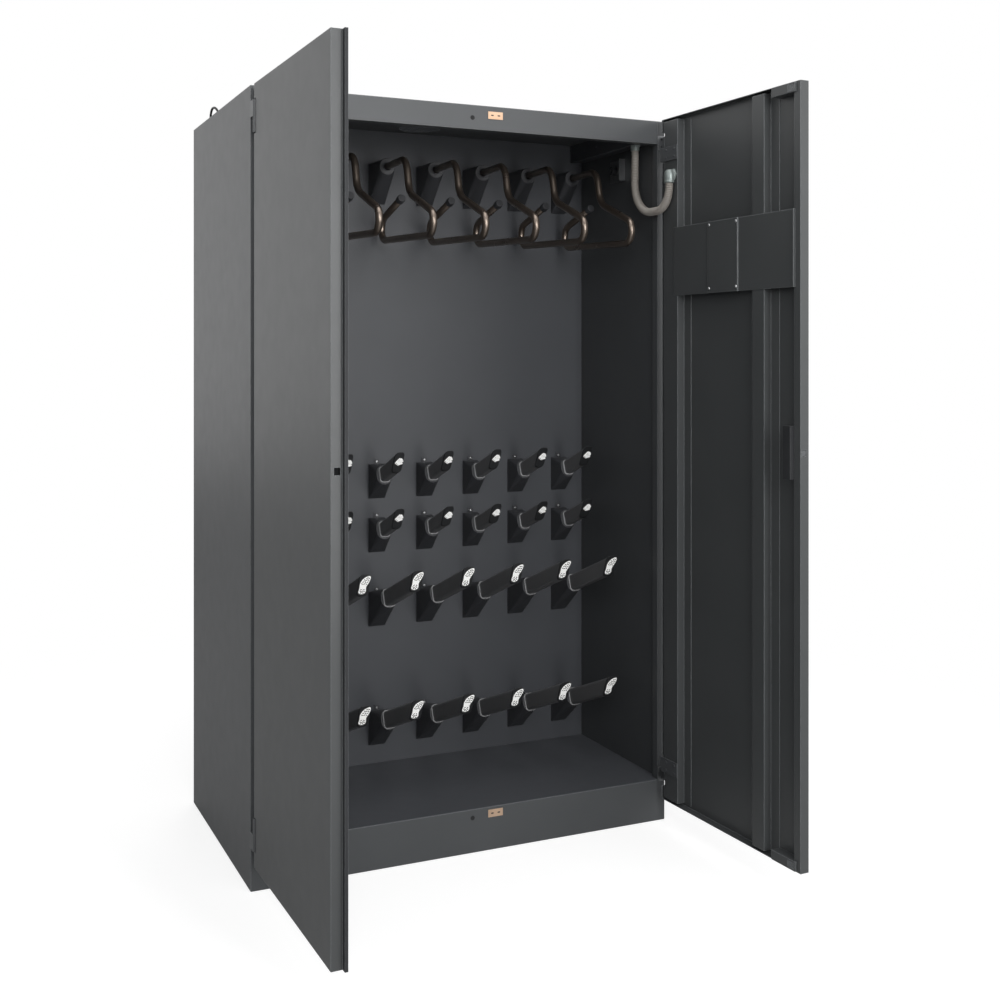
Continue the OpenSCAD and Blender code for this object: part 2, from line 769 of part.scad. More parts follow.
// elbow that carries the conduit into the door's channel
module door_gland() color("#c9cbc9") on_right_door() {
    r = gland_off - 0.5;
    nut_t = 4;
    translate([gland_u, leaf_face + gland_off, gland_z]) {
        cylinder(r = r, h = 20);
        translate([0, 0, 20]) cylinder(r1 = r, r2 = r - 2.5, h = 12);
        translate([0, -gland_off, gland_arm]) rotate([-90, 0, 0]) cylinder(r = gland_bore + 1, h = gland_off);
    }
    translate([gland_u, leaf_face + nut_t, gland_z + gland_arm]) rotate([90, 0, 0])
        cylinder(r = r - 0.5, h = nut_t, $fn = 6);
}

// ---------- holders ----------

// socket that leads air from a hole in the air wall to a port, whose outline is the child
module socket_body(x, z, h, reach, port_z, tilt) {
    hull() {
        translate([x - socket_w / 2, wall_y - 3, z]) cube([socket_w, 3, h]);
        translate([x, wall_y - reach, z + port_z]) rotate([90 - tilt, 0, 0])
            translate([0, 0, -3]) linear_extrude(3) children();
    }
}

module hanger_sockets() color(dark) {
    for (x = column_x) difference() {
        socket_body(x, hanger_row_z, hanger_socket_h, hanger_port_d, hanger_port_z, 0)
            circle(hanger_port_r, $fn = 32);
        translate([x, wall_y - hanger_port_d - 1, hanger_row_z + hanger_port_z]) rotate([-90, 0, 0])
            cylinder(r = hanger_r + fit_gap, h = pocket_d + 1 + fit_gap, $fn = 32);
    }
}

// socket with an oval port and a screw tab over it
module oval_socket(x, z, reach, port_z) {
    difference() {
        union() {
            socket_body(x, z, socket_h, reach, port_z, holder_tilt)
                oval(port_w, port_h, $fn = 16);
            translate([x - tab_w / 2, wall_y - tab_t, z + socket_h - 1]) cube([tab_w, tab_t, tab_h + 1]);
        }
        along_holder(x, reach, z + port_z) translate([0, 0, -pocket_d - fit_gap])
            linear_extrude(pocket_d + fit_gap + 1) oval(oval_w + 2 * fit_gap, oval_h + 2 * fit_gap, $fn = 16);
    }
}

module glove_sockets() color(dark) {
    for (x = column_x, z = glove_rows) oval_socket(x, z, glove_port_d, glove_port_z);
}

module boot_sockets() color(dark) {
    for (x = column_x, z = boot_rows) oval_socket(x, z, boot_port_d, boot_port_z);
}

// turned to the slanted end face of a tube: z runs up the face, and -y points out of it
module at_face(length, slope) {
    translate([0, 0, length]) rotate([holder_tilt - slope, 0, 0]) children();
}

module holder_tube(length, cap_l) {
    translate([0, 0, -pocket_d]) linear_extrude(pocket_d + length - cap_l) oval(oval_w, oval_h);
    linear_extrude(collar_t) oval(oval_w + 2 * collar_w, oval_h + 2 * collar_w);
}

module holder_cap(length, cap_l, slope) {
    reach = 100;
    difference() {
        translate([0, 0, length - cap_l]) linear_extrude(2 * cap_l)
            oval(oval_w + 2 * cap_wall, oval_h + 2 * cap_wall);
        at_face(length, slope) translate([-reach, -2 * reach, -2 * reach]) cube([2, 2, 4] * reach);
    }
}

// children once for each glove tube, with z along the tube
module each_glove() {
    for (x = column_x, z = glove_rows) along_holder(x, glove_port_d, z + glove_port_z) children();
}

// children once for each boot tube, with z along the tube
module each_boot() {
    for (x = column_x, z = boot_rows) along_holder(x, boot_port_d, z + boot_port_z) children();
}

module glove_tubes() color("#4c4e50") each_glove() holder_tube(glove_len, glove_cap_l);

module boot_tubes() color("#4c4e50") each_boot() holder_tube(boot_len, boot_cap_l);

module glove_tube_caps() color("#1c1d1f") each_glove() holder_cap(glove_len, glove_cap_l, glove_slope);

module boot_tube_caps() color("#1c1d1f") each_boot() holder_cap(boot_len, boot_cap_l, boot_slope);

// outline of a sole: toe, waist and heel
module sole() {
    translate([0, 20]) circle(13);
    translate([0, -24]) circle(10);
    translate([-8, -24]) square([16, 44]);
}

// outline of a mitten: palm, thumb and cuff
module mitten() {
    translate([0, 6]) circle(11);
    translate([-11, -14]) square([22, 20]);
    translate([12, -2]) circle(5);
    translate([6, -7]) square([6, 8]);
}

// children flat on a tube's end face
module on_face(length, slope) {
    at_face(length, slope) rotate([90, 0, 0]) linear_extrude(mark_t) children();
}

module boot_marks() color("#e8e8e6") each_boot() on_face(boot_len, boot_slope) sole();

module glove_marks() color("#e8e8e6") each_glove() on_face(glove_len, glove_slope) mitten();

module socket_screws() color("#c8c8c8") {
    for (x = column_x, z = concat(glove_rows, boot_rows))
        translate([x, wall_y - tab_t, z + socket_h + tab_h / 2]) rotate([90, 0, 0]) cylinder(r = 4, h = 2);
}

module hanger(i) color("#8c7a66") {
    translate([column_x[i - 1], front_y, hanger_row_z]) rotate([90, 0, 90])
        bent_tube(hanger_path, hanger_bends, hanger_r);
}

module hanger_end_caps() color(dark) {
    end = hanger_path[len(hanger_path) - 1];
    before = hanger_path[len(hanger_path) - 2];
    lean = atan2(end[1] - before[1], end[0] - before[0]);
    for (x = column_x) translate([x, front_y, hanger_row_z]) rotate([90, 0, 90])
        translate([end[0], end[1], 0]) rotate([0, 0, lean]) rotate([0, 90, 0]) {
            cylinder(r = hanger_cap_r, h = hanger_cap_l);
            translate([0, 0, hanger_cap_l]) intersection() {
                sphere(hanger_cap_r);
                cylinder(r = hanger_cap_r + 1, h = hanger_cap_r / 2);
            }
        }
}

// ---------- air circuit behind the air wall ----------

module intake_filter() color("#d7d7d2") {
    w = intake_w / 2;
    bars = 9;
    translate([0, filter_y + filter_t, fan_z]) rotate([90, 0, 0]) linear_extrude(filter_t) {
        difference() {
            square(intake_w, center = true);
            square(intake_w - 24, center = true);
        }
        for (i = [0 : bars - 1]) translate([(i - (bars - 1) / 2) * intake_w / (bars + 1), 0])
            square([6, intake_w - 20], center = true);
    }
}

// outline of the spiral housing, from the impeller's axis
module scroll_outline(grow) {
    steps = 40;
    first = scroll_start + grow;
    polygon([for (i = [0 : steps]) let (a = i * 360 / steps)
        (first + scroll_growth * i / steps) * [cos(a), sin(a)]]);
    translate([scroll_start - throat - grow, 0])
        square([scroll_growth + throat + 2 * grow, outlet_h]);
}

module fan_scroll() color("#9a9c9e") {
    translate([0, scroll_y + scroll_d, fan_z]) rotate([90, 0, 0]) difference() {
        linear_extrude(scroll_d) scroll_outline(scroll_wall);
        translate([0, 0, scroll_wall]) linear_extrude(scroll_d - 2 * scroll_wall) scroll_outline(0);
        translate([0, 0, -1]) cylinder(r = inlet_r, h = scroll_wall + 2);
        translate([0, 0, scroll_d - scroll_wall - 1]) cylinder(r = motor_hole_r, h = scroll_wall + 2);
    }
}

// squirrel-cage impeller on its shaft, which turns in the motor
module fan_rotor() color("#b4b6b8") {
    blade_t = 2;
    blade_l = 16;
    hub_l = 30;
    translate([0, scroll_y + scroll_d - rotor_back, fan_z]) rotate([90, 0, 0]) {
        translate([0, 0, rotor_d - 3]) cylinder(r = impeller_r, h = 3);
        translate([0, 0, rotor_d - hub_l]) cylinder(r = 16, h = hub_l);
        shaft_end = scroll_d - rotor_back + shaft_in;
        translate([0, 0, rotor_d - 1]) cylinder(r = shaft_r, h = shaft_end - rotor_d + 1);
        difference() {
            cylinder(r = impeller_r, h = 4);
            translate([0, 0, -1]) cylinder(r = impeller_r - blade_l - 4, h = 6);
        }
        for (i = [0 : blades - 1]) rotate([0, 0, i * 360 / blades])
            translate([impeller_r - blade_l - 3, -blade_t / 2, 1]) rotate([0, 0, 25])
                cube([blade_l, blade_t, rotor_d - 2]);
    }
}

module fan_motor() color("#6b6e72") {
    fins = 12;
    translate([0, scroll_y, fan_z]) rotate([90, 0, 0]) difference() {
        union() {
            cylinder(r = motor_r, h = motor_l);
            for (i = [0 : fins - 1]) rotate([0, 0, i * 360 / fins])
                translate([motor_r - 2, -1.5, 6]) cube([6, 3, motor_l - 12]);
        }
        translate([0, 0, -1]) cylinder(r = shaft_r + pin_clear, h = shaft_in + 2);
    }
}

// finned rods in a frame over the scroll's outlet
module air_heater() color("#a06a4a") {
    x0 = scroll_start - throat - scroll_wall;
    z0 = fan_z + outlet_h;
    w = scroll_growth + throat + 2 * scroll_wall;
    translate([0, scroll_y, 0]) {
        difference() {
            block([x0, 0, z0], [x0 + w, scroll_d, z0 + 90]);
            block([x0 + 3, 3, z0 - 1], [x0 + w - 3, scroll_d - 3, z0 + 91]);
        }
        for (k = [0 : 2]) translate([x0 + 1, scroll_d / 2, z0 + 20 + k * 25]) rotate([0, 90, 0]) {
            cylinder(r = 4, h = w - 2);
            for (i = [1 : 7]) translate([0, 0, i * w / 8]) cylinder(r = 11, h = 1.5);
        }
    }
}

module control_box() color("#2f3134") {
    w = 180;
    d = 80;
    h = 260;
    x0 = wall_x - w - 40;
    z0 = cab_h - h - 120;
    difference() {
        block([x0, rear_y - sheet - d, z0], [x0 + w, rear_y - sheet, z0 + h]);
        block([x0 + 3, rear_y - sheet - d + 3, z0 + 3], [x0 + w - 3, rear_y - sheet - 3, z0 + h - 3]);
    }
}

module exhaust_spigot() color(steel) {
    translate([0, spigot_y, cab_h]) difference() {
        union() {
            cylinder(r = spigot_r, h = spigot_h, $fn = 96);
            cylinder(r = spigot_r + 18, h = 2);
        }
        translate([0, 0, -1]) cylinder(r = spigot_r - 2, h = spigot_h + 2, $fn = 96);
    }
}

// ---------- conduit to the right door ----------

// the conduit's route: down from the duct, round in front of the post, and up to the door
conduit_end = right_door_point(gland_u, leaf_face + gland_off);
conduit_top = duct_z - gland_len;
leg_z = conduit_low + conduit_bend;
turn_y = conduit_end[1] + conduit_turn;

function conduit_y(s) =
    let (leg = conduit_top - leg_z, arc = conduit_bend * PI / 2,
        flat = conduit_y0 - conduit_bend - turn_y, last = conduit_turn * PI / 2)
    s < leg ? [conduit_y0, conduit_top - s]
    : s < leg + arc ? let (a = (s - leg) / conduit_bend * 180 / PI)
        [conduit_y0 - conduit_bend + conduit_bend * cos(a), leg_z - conduit_bend * sin(a)]
    : s < leg + arc + flat ? [conduit_y0 - conduit_bend - (s - leg - arc), conduit_low]
    : s < leg + arc + flat + last ? let (a = (s - leg - arc - flat) / conduit_turn * 180 / PI)
        [turn_y - conduit_turn * sin(a), conduit_low + conduit_turn - conduit_turn * cos(a)]
    : [conduit_end[1], conduit_low + conduit_turn + s - leg - arc - flat - last];
conduit_len = conduit_top - leg_z + (conduit_bend + conduit_turn) * PI / 2
    + conduit_y0 - conduit_bend - turn_y + gland_z - conduit_low - conduit_turn;

function conduit_point(s) = let (yz = conduit_y(s))
    [conduit_x + (conduit_end[0] - conduit_x) * s / conduit_len, yz[0], yz[1]];

module door_conduit() color("#a9a7a2") {
    n = 2 * ribs;
    step = (conduit_len - 2 * conduit_play) / n;
    p = [for (i = [0 : n]) conduit_point(conduit_play + step * i)];
    radii = [for (i = [0 : n]) i % 2 == 0 ? conduit_r - rib_depth : conduit_r];
    hose(p, radii, conduit_r - rib_depth - 1.5, 8, [1, 0, 0]);
}

module duct_gland() color("#c9cbc9") {
    translate([conduit_x, conduit_y0, conduit_top]) {
        cylinder(r = gland_r - 1, h = gland_len);
        translate([0, 0, gland_len - 6]) cylinder(r = gland_r + 1, h = 6, $fn = 6);
    }
}

// ---------- mains lead ----------

function on_roof(p) = [lead_x + p[0], rear_y - p[1], cab_h + p[2]];

// the stored coil spirals in on the roof, climbs where it turns back, and spirals out on top of itself
coil_pitch = lead_d + coil_gap;
coil_out = coil_r + coil_turns * coil_pitch;
coil_half = coil_turns * coil_steps;
function coil_point(i) =
    let (a = 90 - 360 * i / coil_steps, j = min(i, 2 * coil_half - i),
        r = coil_out - coil_pitch * j / coil_steps,
        climb = max(0, min(1, (i - coil_half) * 2 / coil_steps + 0.5)))
    [coil_x + r * cos(a), coil_y + r * sin(a), cab_h + lead_r + 0.5 + climb * coil_pitch];
coil_path = [for (i = [0 : 2 * coil_half]) coil_point(i)];

// least gap between turns that lie beside or on each other
coil_self_gap = min([for (i = [0 : 2 * coil_half], j = [i + coil_steps / 2 : 2 * coil_half])
    norm(coil_path[i] - coil_path[j])]) - lead_d;
echo(coil_self_gap = coil_self_gap);

module mains_coil() color("#151618") {
    swept_tube(coil_path, lead_r, 6, [0, 0, 1]);
}

coil_exit = coil_path[2 * coil_half];
plug_back = [coil_exit[0] + tail_end[0], coil_exit[1] + tail_end[1], cab_h + plug_r];

module mains_lead() color("#151618") {
    entry = [coil_path[0] - [45, 0, 0], coil_path[0] - [18, 0, 0], coil_path[0]];
    swept_tube(concat(curve(concat([for (p = lead_route) on_roof(p)], entry), 2), [coil_path[0]]),
        lead_r, 8, [1, 0, 0]);
    tail = concat([coil_exit], [for (p = tail_route) coil_exit + p], [plug_back]);
    swept_tube(concat(curve(tail, 2), [plug_back]), lead_r, 8, [0, 0, 1]);
}

module mains_gland() color("#151618") {
    p = on_roof(lead_route[0]);
    translate([p[0], p[1], cab_h]) {
        cylinder(r = 11, h = 5, $fn = 6);
        translate([0, 0, 5]) cylinder(r1 = 9, r2 = lead_r + 1, h = lead_rise - 5);
    }
}

module mains_plug() color("#151618") {
    translate(plug_back) rotate([0, 0, plug_turn]) rotate([0, 90, 0]) {
        cylinder(r1 = plug_r * 0.5, r2 = plug_r, h = plug_l * 0.4);
        translate([0, 0, plug_l * 0.4]) cylinder(r = plug_r, h = plug_l * 0.6);
        for (s = [-1, 1]) translate([0, s * 9.5, plug_l]) {
            cylinder(r = 2.4, h = 17);
            translate([0, 0, 17]) sphere(2.4);
        }
    }
}

base_frame();
left_side_panel();
right_side_panel();
roof_panel();
rear_panel();
header_rail();
floor_tray();
air_wall();
cable_duct();
sensor_bracket();
humidity_sensor();
keeper_plates();
door_buffers();
left_frame_hinges();
right_frame_hinges();
hanger(1);  // hanger_1
hanger(2);  // hanger_2
hanger(3);  // hanger_3
hanger(4);  // hanger_4
hanger(5);  // hanger_5
hanger(6);  // hanger_6
hanger(7);  // hanger_7
hanger_end_caps();
hanger_sockets();
glove_sockets();
boot_sockets();
glove_tubes();
boot_tubes();
glove_tube_caps();
boot_tube_caps();
glove_marks();
boot_marks();
socket_screws();
intake_filter();
fan_scroll();
fan_rotor();
fan_motor();
air_heater();
control_box();
exhaust_spigot();
mains_gland();
mains_lead();
mains_coil();
mains_plug();
door_conduit();
duct_gland();
left_door_panel();
left_door_stiffeners();
left_door_lip();
left_door_hinges();
right_door_panel();
right_door_stiffeners();
right_door_hinges();
door_gland();
panel_cover();
touch_panel();
lock_case();
latch_bolt();
lever_handle();
door_catches();
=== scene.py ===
"""Looks of a two-door drying cabinet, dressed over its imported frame.

Sizes are millimetres in the frame of the part: x right, y back, z up, with the origin on the floor
under the cabinet's centre. Meshes and the studio are written in metres.
"""

import json
import logging
import math
from dataclasses import dataclass, field
from enum import Enum
from typing import Iterable, Sequence

import bpy
from mathutils import Matrix, Vector

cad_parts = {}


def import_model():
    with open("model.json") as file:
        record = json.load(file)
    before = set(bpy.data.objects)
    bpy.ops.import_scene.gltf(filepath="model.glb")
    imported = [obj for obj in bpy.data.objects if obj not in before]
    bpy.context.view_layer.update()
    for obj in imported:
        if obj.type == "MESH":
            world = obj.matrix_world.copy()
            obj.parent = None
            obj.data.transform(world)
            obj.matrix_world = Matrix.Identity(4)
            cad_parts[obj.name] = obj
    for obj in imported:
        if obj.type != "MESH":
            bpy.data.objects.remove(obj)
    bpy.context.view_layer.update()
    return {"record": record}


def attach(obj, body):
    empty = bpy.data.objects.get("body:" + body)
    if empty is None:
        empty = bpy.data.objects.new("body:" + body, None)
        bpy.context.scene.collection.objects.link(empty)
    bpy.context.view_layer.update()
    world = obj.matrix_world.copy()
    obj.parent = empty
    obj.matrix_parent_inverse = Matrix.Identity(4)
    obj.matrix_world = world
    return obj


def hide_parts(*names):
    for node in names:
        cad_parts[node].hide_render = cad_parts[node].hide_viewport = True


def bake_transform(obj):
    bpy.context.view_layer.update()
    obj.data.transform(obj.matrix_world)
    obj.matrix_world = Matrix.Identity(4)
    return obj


LOG = logging.getLogger("drying_cabinet")
MM = 0.001
CAB_TOP = 2000.0
FRONT_Y = -350.0
REAR_Y = 350.0
WALL_X = 589.25
AIR_WALL_Y = 130.0
HINGE_X = 596.0
HINGE_Y = -382.0
RIGHT_OPEN = 92.0
LEFT_OPEN = 89.0
SPIGOT_Y = 40.0
GLAND_U, GLAND_Y, GLAND_Z = 54.0, 37.0, 1812.0
COLUMNS = tuple(504.25 - 152.0 * i for i in range(7))
SIDES = (-1, 1)
UP = (0, 0, 1)
FRONT = (0, -1, 0)
WHITE = (1.0, 1.0, 1.0, 1.0)
CLOUD_SCALE, CLOUD_DETAIL = 5.5, 4.0
POLISH_SCALE, POLISH_DETAIL = 23.0, 5.0
PRINT_LOW, PRINT_HIGH = 0.02, 0.75
LINE_LOW = 0.5

Point = Sequence[float]
Outline = Sequence[tuple[float, float]]
Spots = Sequence[tuple[Point, Matrix]]
Socket = bpy.types.NodeSocket


# ---------------------------------------------------------------- nodes


def wired(tree: bpy.types.NodeTree, kind: str, feeds: dict[str | int, object] | None = None,
          **settings: object) -> bpy.types.Node:
    """Adds a node, sets it up and feeds its inputs.

    Args:
        tree: the tree that it goes in.
        kind: type of the node.
        feeds: value, or socket of another node, for each input by its name or number.
        settings: the node's own settings.

    Returns:
        The new node.
    """
    made = tree.nodes.new(kind)
    for key, value in settings.items():
        setattr(made, key, value)
    for key, value in (feeds or {}).items():
        if isinstance(value, Socket):
            tree.links.new(value, made.inputs[key])
        else:
            made.inputs[key].default_value = value
    return made


def noise(tree: bpy.types.NodeTree, place: Socket, scale: float, detail: float) -> Socket:
    """Value of a noise at a place."""
    return wired(tree, "ShaderNodeTexNoise", {"Scale": scale, "Detail": detail, "Vector": place}).outputs["Fac"]


def ranged(tree: bpy.types.NodeTree, value: Socket, source: tuple[float, float],
           target: tuple[float, float] = (0.0, 1.0)) -> Socket:
    """A value mapped from one range to another."""
    feeds = {"Value": value, "From Min": source[0], "From Max": source[1], "To Min": target[0], "To Max": target[1]}
    return wired(tree, "ShaderNodeMapRange", feeds).outputs["Result"]


def mixed(tree: bpy.types.NodeTree, share: Socket, first: object, second: object) -> Socket:
    """Two colours mixed, with the share of the second."""
    feeds = {"Factor": share, "A": first, "B": second}
    return wired(tree, "ShaderNodeMix", feeds, data_type="RGBA").outputs["Result"]


def linked(name: str, data: bpy.types.ID) -> bpy.types.Object:
    """New object in the scene, with its data."""
    made = bpy.data.objects.new(name, data)
    bpy.context.scene.collection.objects.link(made)
    return made


# ---------------------------------------------------------------- finishes


class Grain(Enum):
    """Surface texture of a finish."""

    POWDER = "powder coat"
    MOULDED = "moulded plastic"
    BRUSHED = "drawn metal"
    SPANGLE = "galvanised sheet"
    FLEECE = "filter fleece"
    RUBBER = "rubber"
    GLASS = "glass"


def linear(colour: Sequence[float]) -> tuple[float, float, float, float]:
    """Scene-linear colour of a colour written as 0 to 255.

    Args:
        colour: red, green and blue, 0 to 255.

    Returns:
        Linear red, green and blue, with an alpha of 1.
    """
    parts = [c / 255 for c in colour]
    values = [p / 12.92 if p <= 0.04045 else ((p + 0.055) / 1.055) ** 2.4 for p in parts]
    return (values[0], values[1], values[2], 1.0)


@dataclass(frozen=True)
class Finish:
    """One finish, made as a procedural material on Object coordinates."""

    name: str
    colour: tuple[float, float, float]
    shade: tuple[float, float, float]
    grain: Grain
    rough: float = 0.5
    rough_range: float = 0.08
    metal: float = 0.0
    specular: float = 0.5
    grain_size: float = 1.2
    depth: float = 0.03
    # edge_highlight is painted highlight: a lighter colour mixed in along the edges, over edge_radius and up to
    # highlight_share.
    edge_highlight: tuple[float, float, float] | None = None
    edge_radius: float = 0.9
    highlight_share: float = 0.75
    coat: float = 0.0
    # glow is painted light: the finish emits its own colour, though it is no lamp.
    glow: float = 0.0

    def material(self) -> bpy.types.Material:
        """The finish's material, made once."""
        return bpy.data.materials.get(self.name) or self._build()

    def _build(self) -> bpy.types.Material:
        """Makes the node tree."""
        made = bpy.data.materials.new(self.name)
        made.use_nodes = True
        tree = made.node_tree
        tree.nodes.clear()
        place = wired(tree, "ShaderNodeTexCoord").outputs["Object"]
        cloud = ranged(tree, noise(tree, place, CLOUD_SCALE, CLOUD_DETAIL), (0.36, 0.64))
        base = mixed(tree, cloud, linear(self.shade), linear(self.colour))
        bump = wired(tree, "ShaderNodeBump", {"Distance": self.depth * MM, "Strength": 0.9,
                                              "Height": self._grain(tree, place)})
        if self.edge_highlight:
            base = self._painted_edge_highlight(tree, base, bump)
        polish = ranged(tree, noise(tree, place, POLISH_SCALE, POLISH_DETAIL), (0.3, 0.7),
                        (self.rough - self.rough_range, self.rough + self.rough_range))
        shader = wired(tree, "ShaderNodeBsdfPrincipled", {
            "Base Color": base, "Normal": bump.outputs["Normal"], "Roughness": polish, "Metallic": self.metal,
            "Specular IOR Level": self.specular, "Coat Weight": self.coat})
        # Painted light: the surface glows in its own colour.
        if self.glow:
            shader.inputs["Emission Color"].default_value = linear(self.colour)
            shader.inputs["Emission Strength"].default_value = self.glow
        wired(tree, "ShaderNodeOutputMaterial", {"Surface": shader.outputs["BSDF"]})
        return made

    def _painted_edge_highlight(self, tree: bpy.types.NodeTree, base: Socket, bump: bpy.types.Node) -> Socket:
        """Rounds the edges and paints a lighter highlight along them.

        Args:
            tree: the material's tree.
            base: the colour away from the edges.
            bump: the bump that takes the rounded normal.

        Returns:
            The colour with its painted edge highlight.
        """
        rounding = wired(tree, "ShaderNodeBevel", {"Radius": self.edge_radius * MM}, samples=4)
        normal = rounding.outputs["Normal"]
        tree.links.new(normal, bump.inputs["Normal"])
        flat = wired(tree, "ShaderNodeNewGeometry").outputs["Normal"]
        match = wired(tree, "ShaderNodeVectorMath", {0: normal, 1: flat}, operation="DOT_PRODUCT")
        # Where the rounded normal leans away from the flat one, the painted highlight colour is mixed in.
        rim = ranged(tree, match.outputs["Value"], (0.99, 0.86), (0.0, self.highlight_share))
        return mixed(tree, rim, base, linear(self.edge_highlight))

    def _grain(self, tree: bpy.types.NodeTree, place: Socket) -> Socket:
        """Height pattern of the grain at a place."""
        size = 1000.0 / self.grain_size
        if self.grain in (Grain.SPANGLE, Grain.MOULDED):
            cells = wired(tree, "ShaderNodeTexVoronoi", {"Scale": size, "Vector": place})
            return cells.outputs["Color" if self.grain is Grain.SPANGLE else "Distance"]
        if self.grain is Grain.BRUSHED:
            place = wired(tree, "ShaderNodeMapping", {"Scale": (1.0, 0.04, 1.0), "Vector": place}).outputs["Vector"]
        return noise(tree, place, size, 2.0 if self.grain is Grain.POWDER else 4.0)


# The edge_highlight of each finish below is a painted highlight along its edges.
SHELL = Finish("anthracite_shell_coat", (69, 71, 73), (67, 69, 71), Grain.POWDER, 0.42, 0.015,
               specular=0.45, grain_size=1.1, depth=0.02, edge_highlight=(128, 131, 133), edge_radius=1.5, highlight_share=0.9)
INNER = Finish("anthracite_inner_coat", (74, 76, 80), (72, 74, 78), Grain.POWDER, 0.46, 0.015,
               specular=0.42, grain_size=1.1, depth=0.02, edge_highlight=(112, 115, 118), edge_radius=1.2)
AIR_WALL = Finish("anthracite_air_wall_coat", (65, 67, 71), (63, 65, 69), Grain.POWDER, 0.46, 0.015,
                  specular=0.4, grain_size=1.1, depth=0.02, edge_highlight=(104, 107, 110), edge_radius=1.2)
DOOR = Finish("anthracite_door_coat", (68, 70, 71), (66, 68, 69), Grain.POWDER, 0.4, 0.015,
              specular=0.45, grain_size=1.1, depth=0.02, edge_highlight=(142, 146, 149), edge_radius=2.0, highlight_share=0.95)
# The lip has the door's coat, drawn darker and duller: painted shade on its side.
LIP_PAINTED_SHADE = Finish("anthracite_lip_coat_painted_shade", (50, 51, 53), (48, 49, 51), Grain.POWDER, 0.52, 0.02, specular=0.16,
             grain_size=1.1, depth=0.02, edge_highlight=(126, 129, 131), edge_radius=1.3, highlight_share=0.95)
SENSOR = Finish("sensor_housing", (40, 41, 43), (34, 35, 37), Grain.MOULDED, 0.5, grain_size=0.6,
                edge_highlight=(70, 71, 73), edge_radius=0.5)
KEEPER = Finish("keeper_copper", (204, 176, 152), (186, 152, 124), Grain.BRUSHED, 0.38, 0.06, 0.6,
                grain_size=0.5, depth=0.01, edge_highlight=(228, 200, 176), edge_radius=0.4)
RUBBER = Finish("buffer_rubber_black", (26, 26, 27), (20, 20, 21), Grain.RUBBER, 0.78, grain_size=0.7,
                depth=0.04)
HINGE = Finish("hinge_steel_satin", (140, 142, 144), (118, 120, 122), Grain.BRUSHED, 0.4, 0.1, 0.85,
               grain_size=0.6, depth=0.012, edge_highlight=(190, 192, 194), edge_radius=0.5)
STRAP = Finish("hinge_strap_coat", (78, 80, 82), (70, 72, 74), Grain.POWDER, 0.42, 0.05,
               grain_size=1.0, depth=0.02, edge_highlight=(128, 130, 132), edge_radius=0.6)
HANGER = Finish("hanger_champagne_metal", (126, 115, 106), (118, 107, 98), Grain.POWDER, 0.3, 0.03, 0.88,
                grain_size=0.8, depth=0.006)
SOCKET = Finish("socket_black_plastic", (58, 59, 62), (54, 55, 58), Grain.MOULDED, 0.5, 0.04,
                grain_size=0.7, depth=0.02, edge_highlight=(84, 85, 88), edge_radius=1.2)
TUBE = Finish("tube_grey_plastic", (98, 98, 99), (92, 92, 93), Grain.POWDER, 0.38, 0.03,
              grain_size=0.9, depth=0.01, edge_highlight=(150, 151, 153), edge_radius=0.9)
COLLAR = Finish("collar_pale_plastic", (168, 169, 170), (156, 157, 158), Grain.MOULDED, 0.42, 0.04,
                grain_size=0.6, depth=0.02)
CAP = Finish("cap_black_plastic", (34, 35, 37), (28, 29, 30), Grain.MOULDED, 0.46, 0.06,
             grain_size=0.6, depth=0.02, edge_highlight=(84, 85, 87), edge_radius=0.7)
# The white print glows a little: painted light that keeps it bright.
MARK = Finish("mark_white_print", (252, 252, 250), (246, 246, 243), Grain.MOULDED, 0.5, 0.04,
              grain_size=0.5, depth=0.01, glow=0.16)
# Dark print for tread and finger lines; the same finish is painted shade in the keeper slots.
DARK_PRINT_AND_SHADE = Finish("dark_print_and_painted_shade", (36, 37, 39), (30, 31, 33), Grain.MOULDED, 0.6, 0.06,
                   grain_size=0.5, depth=0.015)
FLEECE = Finish("filter_fleece_white", (214, 214, 206), (188, 188, 178), Grain.FLEECE, 0.92, 0.05,
                grain_size=2.2, depth=0.8)
ZINC = Finish("galvanised_zinc", (158, 162, 166), (134, 138, 142), Grain.SPANGLE, 0.42, 0.12, 0.9,
              grain_size=9.0, depth=0.02, edge_highlight=(196, 198, 200), edge_radius=0.5)
MOTOR = Finish("motor_grey_enamel", (84, 88, 93), (72, 76, 81), Grain.POWDER, 0.4, 0.08,
               grain_size=1.6, depth=0.05, edge_highlight=(130, 133, 136), edge_radius=0.6)
BOX = Finish("box_grey_plastic", (62, 64, 67), (55, 57, 60), Grain.MOULDED, 0.5, 0.06,
             grain_size=0.8, depth=0.03, edge_highlight=(96, 98, 100), edge_radius=1.0)
CABLE = Finish("lead_black_pvc", (30, 30, 31), (24, 24, 25), Grain.RUBBER, 0.5, 0.07, grain_size=0.8,
               depth=0.02)
CONDUIT = Finish("conduit_warm_grey", (150, 145, 139), (134, 129, 123), Grain.MOULDED, 0.5, 0.07,
                 grain_size=0.7, depth=0.02)
NICKEL = Finish("gland_nickel_satin", (150, 158, 156), (134, 142, 140), Grain.POWDER, 0.36, 0.05, 0.4,
                grain_size=0.6, depth=0.01, edge_highlight=(214, 220, 218), edge_radius=0.8)
